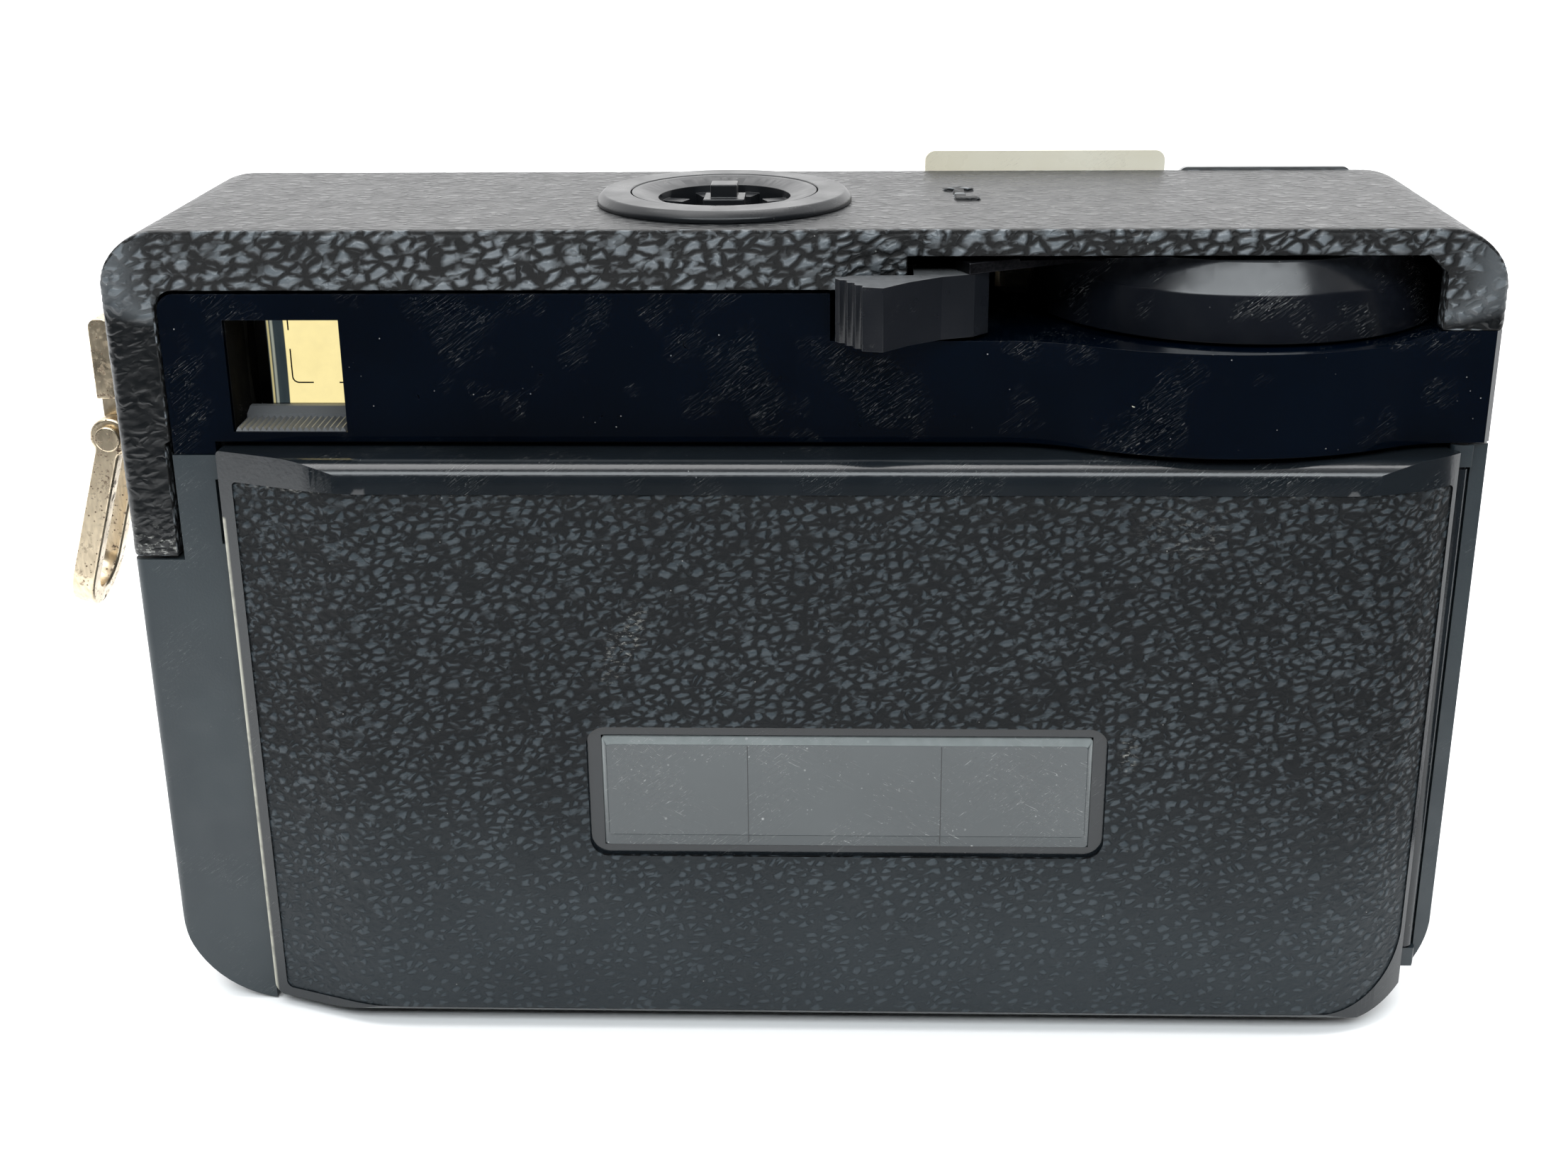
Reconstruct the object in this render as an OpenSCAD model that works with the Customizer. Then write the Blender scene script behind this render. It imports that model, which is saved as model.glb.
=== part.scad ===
// Cartridge snapshot camera with a hinged rear door, a thumb advance lever and a flash cube socket.
// Millimetres. +X is the user's right hand, +Y is the way the lens looks, +Z is up.
// The origin is the centre of the body's bottom face.

/* [Body] */
// Width of the body
body_w = 110.4; // [109:0.1:111]
// Height of the body
body_h = 69.5; // [69:0.5:70]
// Depth of the body without door bulge and lens
body_d = 28; // [27.5:0.5:28.5]
// Radius of the upper corners, seen from behind
top_corner_r = 5.1; // [4:0.1:6]
// Radius of the lower corners, seen from behind
bottom_corner_r = 9.2; // [8:0.1:10]
// Radius of the upright edges, seen from above
upright_edge_r = 0.8; // [0.5:0.1:2]
// Height of the joint between the main body and the upper parts
deck_z = 52.2; // [52:0.1:52.4]
// Lowest point of the top cover's left leg
leg_z = 42.5; // [42:0.1:43]

/* [Rear panel] */
// Top edge of the gloss panel
panel_top_z = 64.5; // [64.2:0.1:64.7]
// Height of the shelf under the advance disc
shelf_z = 60.7; // [60.5:0.1:60.8]
// Radius of the bulge around the advance disc
bulge_r = 26; // [25.5:0.1:26.5]
// Radius of the hollow curve that leads into the bulge
bulge_lead_r = 14; // [12:0.5:15]

/* [Door] */
// Left edge of the door
door_left_x = -47.1; // [-47.3:0.1:-47]
// How far the door stands out behind the body
door_bulge = 4.5; // [4.2:0.1:4.6]
// Top edge of the door
door_top_z = 51.9; // [51.5:0.1:52]
// Bottom edge of the door
door_bottom_z = 1.1; // [1:0.1:1.5]
// Width of the cartridge window
window_w = 40.8; // [40:0.1:41]
// Height of the cartridge window
window_h = 10.2; // [10:0.1:10.4]

/* [Advance] */
// Position of the advance disc across the body
disc_x = 36.4; // [36.2:0.1:36.6]
// Largest radius of the advance disc
disc_r = 17.2; // [17:0.1:17.2]

/* [Flash socket] */
// Position of the flash cube socket across the body
socket_x = -6.3; // [-6.5:0.1:-6]
// Outer radius of the socket's collar
collar_r = 10.6; // [10.4:0.1:10.8]

/* [Lens] */
// Position of the lens axis across the body
lens_x = 3.8; // [3.6:0.1:4]
// Height of the lens axis
lens_z = 23.2; // [23:0.1:23.4]
// How far the lens barrel stands out in front of the body
barrel_out = 19; // [18:0.5:20]

/* [Hidden] */
$fn = 64;
half_w = body_w / 2;
rear_y = -body_d / 2;
front_y = body_d / 2;
wall = 1.8;
cover_inner_y = front_y - wall;
cover_inner_x = half_w - wall;
cover_roof_z = body_h - 1.9;
leg_inner_x = -51.4;
body_step_x = -50.9;

// Film cartridge space
chamber_z0 = 5.2;
chamber_z1 = 42.2;
bay_floor_z = 44;
disc_y = 1;
supply_x = 2 * lens_x - disc_x + 0.4;
supply_y = -2.5;
supply_r = 9.8;
take_up_y = 1;
take_up_r = 11.2;
gate_y = -8.2;
gate_half = 14;
feeler_x = 21.2;
feeler_y = -4.4;

// Door surfaces
door_y = rear_y - door_bulge;
door_inner_y = -12.6;
door_slope_x = -37;
door_edge_y = rear_y - 0.8;
door_arc_x = 43;
door_arc_r = 14.8;
door_slope = atan2(door_edge_y - door_y, door_slope_x - door_left_x);
door_bend_r = 16;
hinge_x = 53.1;
door_right_x = hinge_x - 0.5;
hinge_y = -13.4;
hinge_nose_r = 0.65;
lug_r = 0.95;
lug_h = 1.8;
lower_lug_z = 4.4;
covering_t = 0.45;
covering_drop = 0.15;
covering_z0 = 2;
covering_z1 = 49.4;
window_x = 4;
window_z = 23.15;

// Panel surfaces
panel_y = rear_y + 0.15;
panel_t = 1.5;
panel_gap = 0.3;
side_seam_z = 61.5;
bulge_x = 34.5;
bulge_y = 7.65;
lead_dx = sqrt(pow(bulge_r + bulge_lead_r, 2) - pow(bulge_y - panel_y + bulge_lead_r, 2));
lead_x = bulge_x - lead_dx;
lead_y = panel_y - bulge_lead_r;
lead_angle = atan2(bulge_y - lead_y, lead_dx);
eye_x0 = -45.7;
eye_x1 = -36.4;
eye_z0 = 53.2;
eye_z1 = 62.4;

// Thumb recess around the advance disc
recess_x0 = 8.6;
recess_x1 = 50.4;
recess_roof_z = 67.45;
disc_z0 = 60.95;
disc_z1 = 67;
arm_z0 = 66.05;
arm_z1 = 66.95;
tip_z0 = 61.05;
spindle_r = 2.5;
disc_right_a = -26;
disc_left_a = 160;

// Indexing gears and rack
gear_module = 0.75;
gear_pitch = PI * gear_module;
drive_teeth = 18;
socket_teeth = 13;
drive_gear_r = drive_teeth * gear_module / 2;
socket_gear_r = socket_teeth * gear_module / 2;
gear_z0 = 53.9;
gear_z1 = 55.3;
socket_y = -1;
stem_r = 1.8;

// Release linkage
lever_pivot_x = 8;
lever_pivot_z = 57.8;
bar_x0 = 11;
bar_x1 = 32.6;
bar_top_z = 71.1;
bar_y0 = front_y + 1.1;
bar_y1 = front_y + 3.2;
stem_x = 20;
striker_y = socket_y + 4.7;

// Latch and strap loop
loop_x = -59;
loop_z = 50.3;
loop_y0 = -6;
loop_y1 = 2;
loop_lean = 17;
loop_length = 17;

// Lens and shutter
housing_r = 20;
barrel_r = 14;
barrel_y1 = front_y + barrel_out;
ring_y0 = front_y + 8.6;
ring_y1 = front_y + 15;
shutter_pivot_x = 14.5;
shutter_pivot_z = 32;
aperture_pivot_x = -6;
aperture_pivot_z = 31;

// ---------- shared shapes ----------

// Box between two opposite corners
module block(lo, hi) {
    translate(lo) cube(hi - lo);
}

// What one square corner loses when it is rounded
module corner_waste(r) {
    difference() {
        translate([-1, -1]) square(r + 1);
        translate([r, r]) circle(r);
    }
}

// Rectangle with its own radius at each corner: bottom left, bottom right, top right, top left
module soft_rect(x0, x1, y0, y1, r) {
    difference() {
        translate([x0, y0]) square([x1 - x0, y1 - y0]);
        if (r[0] > 0) translate([x0, y0]) corner_waste(r[0]);
        if (r[1] > 0) translate([x1, y0]) mirror([1, 0]) corner_waste(r[1]);
        if (r[2] > 0) translate([x1, y1]) rotate(180) corner_waste(r[2]);
        if (r[3] > 0) translate([x0, y1]) mirror([0, 1]) corner_waste(r[3]);
    }
}

// Outline in X and Z, made solid from y0 to y1
module along_y(y0, y1) {
    translate([0, y1, 0]) rotate([90, 0, 0]) linear_extrude(y1 - y0) children();
}

// Outline in Y and Z, made solid from x0 to x1
module along_x(x0, x1) {
    translate([x0, 0, 0]) rotate([90, 0, 90]) linear_extrude(x1 - x0) children();
}

// Outline in X and Y, made solid from z0 to z1
module along_z(z0, z1) {
    translate([0, 0, z0]) linear_extrude(z1 - z0) children();
}

// Upright round bar
module upright(x, y, r, z0, z1) {
    translate([x, y, z0]) cylinder(h = z1 - z0, r = r);
}

// Round bar that runs fore and aft
module fore_aft(x, z, r, y0, y1) {
    translate([x, y0, z]) rotate([-90, 0, 0]) cylinder(h = y1 - y0, r = r);
}

// Ring that is turned about the lens axis
module lens_ring(r_in, r_out, y0, y1) {
    difference() {
        fore_aft(lens_x, lens_z, r_out, y0, y1);
        fore_aft(lens_x, lens_z, r_in, y0 - 1, y1 + 1);
    }
}

// Points of an arc
function arc(centre, r, from, to, steps) = [for (i = [0:steps])
    let (a = from + (to - from) * i / steps)
    centre + r * [cos(a), sin(a)]];

function reversed(list) = [for (i = [len(list) - 1:-1:0]) list[i]];

// Outer block of the body between two heights
module envelope(z0, z1) {
    intersection() {
        along_y(rear_y, front_y)
            soft_rect(-half_w, half_w, 0, body_h,
                      [bottom_corner_r, bottom_corner_r, top_corner_r, top_corner_r]);
        along_z(z0, z1)
            soft_rect(-half_w, half_w, rear_y, front_y, [1, 1, 1, 1] * upright_edge_r);
    }
}

// Coil spring of round wire, standing on z0
module coil(r, wire_r, z0, z1, turns) {
    steps = turns * 14;
    sides = 6;
    points = [for (i = [0:steps], j = [0:sides - 1])
        let (a = 360 * turns * i / steps, b = 360 * j / sides, q = r + wire_r * cos(b))
        [q * cos(a), q * sin(a), z0 + wire_r + (z1 - z0 - 2 * wire_r) * i / steps + wire_r * sin(b)]];
    skin = [for (i = [0:steps - 1], j = [0:sides - 1])
        let (k = (j + 1) % sides)
        [i * sides + j, i * sides + k, (i + 1) * sides + k, (i + 1) * sides + j]];
    first = [for (j = [0:sides - 1]) sides - 1 - j];
    last = [for (j = [0:sides - 1]) steps * sides + j];
    polyhedron(points, concat(skin, [first], [last]));
}

// Spur gear with slim teeth, one of them pointing to +Y
module spur(teeth, bore_r, z0, z1) {
    r = teeth * gear_module / 2;
    difference() {
        union() {
            along_z(z0, z1) circle(r - 0.85);
            for (i = [0:teeth - 1])
                rotate(360 * i / teeth) along_z(z0, z1)
                    polygon([[-0.6, r - 1.2], [0.6, r - 1.2], [0.28, r + 0.55], [-0.28, r + 0.55]]);
        }
        upright(0, 0, bore_r, z0 - 1, z1 + 1);
    }
}

// Row of rack teeth that point to -Y, with a gap centred on x
module rack_teeth(x, y, first, last) {
    for (i = [first:last])
        translate([x + (i + 0.5) * gear_pitch, y])
            polygon([[-0.28, -0.55], [0.28, -0.55], [0.6, 1.2], [-0.6, 1.2]]);
}

// ---------- body ----------

module main_body() {
    color("#2b2f33") {
        casting();
        intersection() {
            hinge_lugs(0, 0.55);
            envelope(0, deck_z);
        }
    }
}

// Lugs that hold the ends of the hinge pins, grown by g, with bores of radius bore_r
module hinge_lugs(g, bore_r) {
    for (z = [lower_lug_z, deck_z - lug_h]) difference() {
        union() {
            upright(hinge_x, hinge_y, lug_r + g, z - g, z + lug_h + g);
            block([hinge_x, hinge_y, z - g], [half_w, door_inner_y + 0.4, z + lug_h + g]);
        }
        upright(hinge_x, hinge_y, bore_r, z - 1, z + lug_h + 1);
    }
}

// Lower casing without its hinge lugs
module casting() {
    difference() {
        envelope(0, deck_z);
        // step beside the top cover's leg
        block([-half_w - 1, rear_y - 1, leg_z - 0.3], [body_step_x, front_y + 1, deck_z + 1]);
        // rebate for the door, with a narrow lip left at the hinge side
        block([door_left_x - 0.2, rear_y - 1, -1], [hinge_x + 0.85, door_inner_y + 0.1, deck_z + 1]);
        block([hinge_x, rear_y - 1, -1], [half_w + 1, rear_y + 0.6, deck_z + 1]);
        // rest for the tab of the rear panel
        block([body_step_x - 1, rear_y - 1, deck_z - 0.95],
              [door_left_x, panel_y + panel_t + 0.1, deck_z + 1]);
        upright(hinge_x, hinge_y, 0.85, -1, deck_z + 1);
        // film chambers and the flat of the cartridge
        upright(disc_x, take_up_y, take_up_r, chamber_z0, chamber_z1);
        block([disc_x - take_up_r, rear_y, chamber_z0], [disc_x + take_up_r, take_up_y, chamber_z1]);
        upright(supply_x, supply_y, supply_r, chamber_z0, chamber_z1);
        block([supply_x - supply_r, rear_y, chamber_z0], [supply_x + supply_r, supply_y, chamber_z1]);
        block([supply_x, rear_y, chamber_z0], [disc_x, gate_y, chamber_z1]);
        // light tunnel in three steps
        light_step(gate_half, gate_y - 1, -1);
        light_step(gate_half - 3, -2, 7);
        light_step(gate_half - 5.5, 6, front_y + 1);
        // bay for the mechanism, and the pocket at the latch side
        difference() {
            block([-43, -10.5, bay_floor_z], [49.5, 11.5, deck_z + 1]);
            for (p = plate_screw_places()) upright(p[0], p[1], 2.6, bay_floor_z - 1, deck_z + 2);
        }
        block([-48.5, -7.5, 4], [-41, 11, deck_z + 1]);
        // notch for the hook of the latch
        block([-51.5, -9.8, 43.8], [-46, -7, 50]);
        // bores: take-up drive, plate screws, feeler, hinge
        upright(disc_x, disc_y, 3.06, chamber_z1 - 1, bay_floor_z + 1);
        for (p = plate_screw_places()) upright(p[0], p[1], 0.85, 47, deck_z + 1);
        block([feeler_x - 2, gate_y - 1, 38.6], [feeler_x + 2, feeler_y + 2, 40.6]);
        block([door_left_x - 0.5, rear_y, 43.6], [door_left_x + 2.6, -7, 49.2]);
        upright(feeler_x, feeler_y, 0.55, 37.6, 41.6);
        for (p = case_screw_places()) {
            fore_aft(p[0], p[1], 1.05, rear_y - 1, front_y + 1);
            fore_aft(p[0], p[1], 2, rear_y - 1, gate_y + 1);
        }
    }
}

// Square step of the tunnel between the lens and the film
module light_step(half, y0, y1) {
    block([lens_x - half, y0, lens_z - half], [lens_x + half, y1, lens_z + half]);
}

function plate_screw_places() = [[-27, -6.5], [-27, 7.5], [46, -6.5]];
function case_screw_places() = [[-15.5, 8.5], [22.5, 8.5], [-15.5, 36], [22.5, 36]];

module top_cover() {
    color("#303438") {
        difference() {
            envelope(leg_z, body_h);
            block([-cover_inner_x, rear_y + wall, leg_z - 1], [cover_inner_x, cover_inner_y, cover_roof_z]);
            // only the leg goes below the deck
            block([leg_inner_x, rear_y - 1, leg_z - 1], [half_w + 1, front_y + 1, deck_z + 0.15]);
            // room for the rear panel and the thumb recess
            along_y(rear_y - 1, rear_y + wall + 0.1)
                soft_rect(-51, recess_x1, deck_z, panel_top_z + panel_gap, [0, 0, 0, 1.6]);
            block([recess_x1, rear_y - 1, deck_z], [half_w + 1, front_y - 1.5, shelf_z + 0.05]);
            block([recess_x1, rear_y - 1, deck_z], [half_w + 1, -9.9, side_seam_z + 0.05]);
            difference() {
                block([recess_x0, rear_y - 1, deck_z], [recess_x1, 0, recess_roof_z]);
                translate([recess_x1, 0, recess_roof_z]) rotate([0, 45, 0]) cube([2, 60, 2], center = true);
            }
            // pocket beside the advance disc
            block([recess_x1 - 1, panel_y + 3.5, shelf_z - 0.1],
                  [disc_x + disc_r + 0.3, cover_inner_y, cover_roof_z]);
            upright(socket_x, socket_y, 9.4, cover_roof_z - 1, body_h + 1);
            block([stem_x - 2.6, cover_inner_y - 1, 56.5], [stem_x + 2.6, front_y + 1, 62.5]);
            block([-44.6, cover_inner_y - 1, 54.4], [-33.4, front_y + 1, 62.6]);
            // slot for the latch
            block([-half_w - 1, -4.4, 50.6], [-cover_inner_x + 1, 0.4, 59.6]);
        }
        bent_arrow();
        fore_aft(lever_pivot_x, lever_pivot_z, 2, cover_inner_y - 1.2, cover_inner_y);
    }
}

// Raised arrow that shows which way to wind
module bent_arrow() {
    along_z(body_h, body_h + 0.25) translate([13.4, 1.7]) {
        translate([-0.45, -3]) square([0.9, 4.6]);
        translate([-0.45, -3]) square([2, 0.9]);
        polygon([[-1.3, 1.5], [1.3, 1.5], [0, 3]]);
    }
}

// Rear outline of the panel, set in by o
function panel_curve(o) = let (cut = max(o + 0.1, 0.5)) concat(
    [[-50.8, panel_y + o]],
    arc([lead_x, lead_y], bulge_lead_r + o, 90, lead_angle, 8),
    arc([bulge_x, bulge_y], bulge_r - o, 180 + lead_angle, 360 - lead_angle, 28),
    arc([2 * bulge_x - lead_x, lead_y], bulge_lead_r + o, 180 - lead_angle, 90, 8),
    [[half_w - cut, panel_y + o], [half_w - o, panel_y + cut]]);

module panel_plan() {
    inner = panel_curve(panel_t);
    polygon(concat(
        panel_curve(0),
        [[half_w, front_y - 1.7], [half_w - panel_t, front_y - 1.7]],
        reversed(inner)));
}

module rear_panel() {
    color("#0d1117") difference() {
        union() {
            along_z(deck_z + 0.2, shelf_z) panel_plan();
            intersection() {
                along_z(shelf_z - 1, panel_top_z) panel_plan();
                along_y(rear_y - 1, 0) soft_rect(-50.8, 2.6, deck_z, panel_top_z, [0, 0, 0, 1.4]);
            }
            // the edge rises to the cover beside the advance disc
            intersection() {
                along_z(shelf_z - 1, side_seam_z) panel_plan();
                along_y(rear_y - 1, -10) polygon([[46.5, shelf_z - 0.9], [half_w + 1, shelf_z - 0.9],
                    [half_w + 1, side_seam_z + 1], [50.6, side_seam_z + 0.05], [46.5, shelf_z + 0.01]]);
            }
            block([-50.8, panel_y, deck_z - 0.9], [door_left_x - 0.2, panel_y + panel_t, deck_z + 1]);
            // shelf under the advance disc
            along_z(shelf_z - 1.2, shelf_z) intersection() {
                polygon(concat(panel_curve(0.4), [[half_w - 0.5, 6], [-50.8, 6]]));
                translate([2.6, -30]) square([51.5, 36]);
            }
            // hood around the eyepiece
            block([eye_x0 - 1, panel_y + 0.5, deck_z + 0.2], [eye_x1 + 1, panel_y + 5, eye_z1 + 0.8]);
        }
        block([eye_x0, rear_y - 1, eye_z0], [eye_x1, panel_y + 6, eye_z1]);
        upright(disc_x, disc_y, 4, shelf_z - 2, shelf_z + 1);
    }
}

// Front outline shared by the metal plate and the covering
module front_outline(z0, z1) {
    intersection() {
        soft_rect(-half_w + 1.8, half_w - 1.8, 1.8, body_h - 0.9,
                  [1, 1, 0.6, 0.6] * (bottom_corner_r - 1.8));
        translate([-half_w, z0]) square([body_w, z1 - z0]);
    }
}

module front_plate() {
    color("silver") along_y(front_y, front_y + 0.7) difference() {
        union() {
            front_outline(41, body_h);
            soft_rect(33.7, 49.1, 60, body_h + 0.25, [0, 0, 0.8, 0.8]);
        }
        translate([lens_x, lens_z]) circle(housing_r + 0.3);
        translate([-44.6, 54.4]) square([11.2, 8.2]);
        translate([stem_x - 2.6, 56.5]) square([5.2, 6]);
    }
}

module front_covering() {
    color("#26292c") along_y(front_y, front_y + 0.7) difference() {
        front_outline(1, 40.7);
        translate([lens_x, lens_z]) circle(housing_r + 0.3);
    }
}

module case_screws() {
    color("#8f9296") for (p = case_screw_places()) {
        fore_aft(p[0], p[1], 1, gate_y + 1, front_y - 1);
        difference() {
            fore_aft(p[0], p[1], 1.9, gate_y - 0.2, gate_y + 1);
            block([p[0] - 1.6, gate_y - 1, p[1] - 0.2], [p[0] + 1.6, gate_y + 0.3, p[1] + 0.2]);
        }
    }
}

// ---------- mechanism plate ----------

module mechanism_plate() {
    color("#a9adb0") difference() {
        block([-31, -9.8, deck_z], [49, 10.8, deck_z + 1]);
        upright(disc_x, disc_y, spindle_r + 0.05, deck_z - 1, deck_z + 2);
        upright(socket_x, socket_y, stem_r + 0.05, deck_z - 1, deck_z + 2);
        for (p = plate_screw_places()) upright(p[0], p[1], 1.05, deck_z - 1, deck_z + 2);
        block([-20, -5, deck_z - 1], [-13, 6, deck_z + 2]);
        block([4, -7, deck_z - 1], [24, 3, deck_z + 2]);
    }
}

module mechanism_screws() {
    color("#c9ccce") for (p = plate_screw_places()) {
        upright(p[0], p[1], 0.85, 47.2, deck_z + 1);
        difference() {
            upright(p[0], p[1], 1.9, deck_z + 1, deck_z + 2);
            block([p[0] - 2, p[1] - 0.25, deck_z + 1.5], [p[0] + 2, p[1] + 0.25, deck_z + 3]);
        }
    }
}

// ---------- viewfinder ----------

module viewfinder_tube() {
    color("#15181b") difference() {
        block([eye_x0 - 1.3, panel_y + 5.1, deck_z + 0.3], [-32.6, cover_inner_y - 0.1, 63.8]);
        block([eye_x0, panel_y + 4, eye_z0], [eye_x1, 0, eye_z1]);
        block([eye_x0, -1, eye_z0], [-33.6, cover_inner_y + 1, eye_z1]);
    }
}

// Small lens with one domed face, filling a square seat
module finder_lens(x0, x1, y, z0, z1, thick, dome_r) {
    intersection() {
        block([x0, y, z0], [x1, y + thick, z1]);
        translate([(x0 + x1) / 2, y + dome_r, (z0 + z1) / 2]) sphere(dome_r, $fn = 160);
    }
}

module eyepiece_lens() {
    color("#ffe3a0") finder_lens(eye_x0 + 0.05, eye_x1 - 0.05, -8.5, eye_z0 + 0.05, eye_z1 - 0.05, 3, 14);
}

module objective_lens() {
    color("#cfe0ea") finder_lens(eye_x0 + 0.05, -33.65, 7.6, eye_z0 + 0.05, eye_z1 - 0.05, 3, 18);
}

module viewfinder_mask() {
    color("#0a0a0a") along_y(5.6, 6.1) difference() {
        soft_rect(eye_x0 + 0.05, -33.65, eye_z0 + 0.05, eye_z1 - 0.05, [0, 0, 0, 0]);
        soft_rect(-43.4, -35.6, 54.8, 61, [1, 1, 1, 1] * 0.6);
    }
}

module viewfinder_window() {
    color("#dfe8ee") block([-44.5, cover_inner_y + 0.1, 54.5], [-33.5, front_y + 0.6, 62.5]);
}

// ---------- lens and shutter ----------

module lens_housing() {
    color("#1b1e21") difference() {
        fore_aft(lens_x, lens_z, housing_r, front_y, front_y + 8);
        fore_aft(lens_x, lens_z, housing_r - 2, front_y - 1, front_y + 6.6);
        fore_aft(lens_x, lens_z, 8, front_y, front_y + 9);
        block([11.4, front_y - 1, lens_z], [14.6, front_y + 3, lens_z + housing_r + 1]);
    }
}

module lens_barrel() {
    color("#17191c") difference() {
        union() {
            fore_aft(lens_x, lens_z, barrel_r, front_y + 8, barrel_y1);
            fore_aft(lens_x, lens_z, 7.95, front_y + 6.8, front_y + 8);
        }
        fore_aft(lens_x, lens_z, 5, front_y + 5, barrel_y1 + 1);
        fore_aft(lens_x, lens_z, 6.5, front_y + 13, barrel_y1 + 1);
        fore_aft(lens_x, lens_z, 9, front_y + 16, barrel_y1 + 1);
        translate([lens_x, barrel_y1 - 2, lens_z]) rotate([-90, 0, 0]) cylinder(h = 2.01, r1 = 9, r2 = 12);
    }
}

// Round lens with a domed front, about the lens axis
module round_lens(r, y, thick, dome_r) {
    intersection() {
        fore_aft(lens_x, lens_z, r, y, y + thick);
        translate([lens_x, y + thick - dome_r, lens_z]) rotate([90, 0, 0]) sphere(dome_r, $fn = 200);
    }
}

module lens_front_element() {
    color("#bcd3e6") round_lens(6.45, front_y + 13.1, 2.6, 18);
}

module lens_rear_element() {
    color("#bcd3e6") round_lens(4.95, front_y + 9, 2, 16);
}

module lens_retaining_ring() {
    color("#303336") difference() {
        fore_aft(lens_x, lens_z, 8.95, front_y + 16, front_y + 17);
        fore_aft(lens_x, lens_z, 5.6, front_y + 15, front_y + 18);
        for (side = [-1, 1])
            translate([lens_x + side * 7.4, 0, lens_z])
                block([-0.6, front_y + 16.4, -0.6], [0.6, front_y + 18, 0.6]);
    }
}

module exposure_ring() {
    grips = 40;
    color("#232629") difference() {
        lens_ring(barrel_r + 0.08, 17.4, ring_y0, ring_y1);
        for (i = [0:grips - 1])
            translate([lens_x, 0, lens_z]) rotate([0, 360 * i / grips, 0])
                block([16.9, ring_y0 + 1.2, -0.35], [18, ring_y1 - 1.2, 0.35]);
    }
}

// Disc on an arm, from its pivot to the lens axis
module blade_plan(to_lens, arm_w, disc_r) {
    difference() {
        union() {
            circle(2);
            rotate(atan2(to_lens[1], to_lens[0])) translate([0, -arm_w / 2]) square([norm(to_lens), arm_w]);
            translate(to_lens) circle(disc_r);
        }
        circle(0.85);
    }
}

module aperture_blade() {
    to_lens = [lens_x - aperture_pivot_x, lens_z - aperture_pivot_z];
    color("#3a3d40") along_y(front_y + 4.6, front_y + 5)
        translate([aperture_pivot_x, aperture_pivot_z]) difference() {
            blade_plan(to_lens, 2.8, 4.6);
            translate(to_lens) circle(1.9);
        }
}

module shutter_plate() {
    color("#9a9da0") difference() {
        fore_aft(lens_x, lens_z, housing_r - 2.1, front_y + 3, front_y + 3.8);
        fore_aft(lens_x, lens_z, 4, front_y, front_y + 5);
        fore_aft(shutter_pivot_x, shutter_pivot_z, 0.8, front_y, front_y + 5);
        fore_aft(aperture_pivot_x, aperture_pivot_z, 0.8, front_y, front_y + 5);
    }
}

module shutter_blade() {
    color("#2a2c2e") along_y(front_y + 1.9, front_y + 2.3)
        translate([shutter_pivot_x, shutter_pivot_z])
            blade_plan([lens_x - shutter_pivot_x, lens_z - shutter_pivot_z], 3.2, 5.4);
}

module shutter_pivot() {
    color("#c9ccce") {
        fore_aft(shutter_pivot_x, shutter_pivot_z, 0.8, front_y + 1.2, front_y + 3.8);
        fore_aft(shutter_pivot_x, shutter_pivot_z, 1.4, front_y + 1, front_y + 1.4);
        fore_aft(aperture_pivot_x, aperture_pivot_z, 0.8, front_y + 3, front_y + 5.6);
        fore_aft(aperture_pivot_x, aperture_pivot_z, 1.4, front_y + 5.4, front_y + 5.8);
    }
}

module shutter_spring() {
    color("#b8bbbe") {
        translate([shutter_pivot_x, front_y + 2.95, shutter_pivot_z]) rotate([90, 0, 0])
            rotate_extrude() translate([1.5, 0.3]) circle(0.2);
        fore_aft(shutter_pivot_x - 1.9, shutter_pivot_z + 3, 0.2, front_y + 2.5, front_y + 3);
    }
}

// ---------- door ----------

// Rear surface of the door from above, set in by o
function door_curve(o) =
    let (bx = door_slope_x + o * tan(door_slope / 2) + door_bend_r * tan(door_slope / 2),
         end_a = 360 - acos((door_right_x - door_arc_x) / (door_arc_r - o)))
    concat(
        [[door_left_x, door_edge_y + o / cos(door_slope)]],
        arc([bx, door_y + o + door_bend_r], door_bend_r, 270 - door_slope, 270, 12),
        arc([door_arc_x, door_y + door_arc_r], door_arc_r - o, 270, end_a, 24));

// Rear surface and a straight inner line, as one outline seen from above
module door_plan(o, inner_y) {
    polygon(concat(door_curve(o), [[door_right_x, inner_y], [door_left_x, inner_y]]));
}

// Door seen from behind, set in by o
module door_face(o) {
    soft_rect(door_left_x + o, hinge_x + 2, door_bottom_z + o, door_top_z - o, [1, 8, 0.4, 0.4]);
}

// Door from the side: the rounded upper and lower rear edges
module door_side() {
    soft_rect(door_y, door_inner_y, door_bottom_z, door_top_z, [1.8, 0, 0, 1.8]);
}

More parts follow.
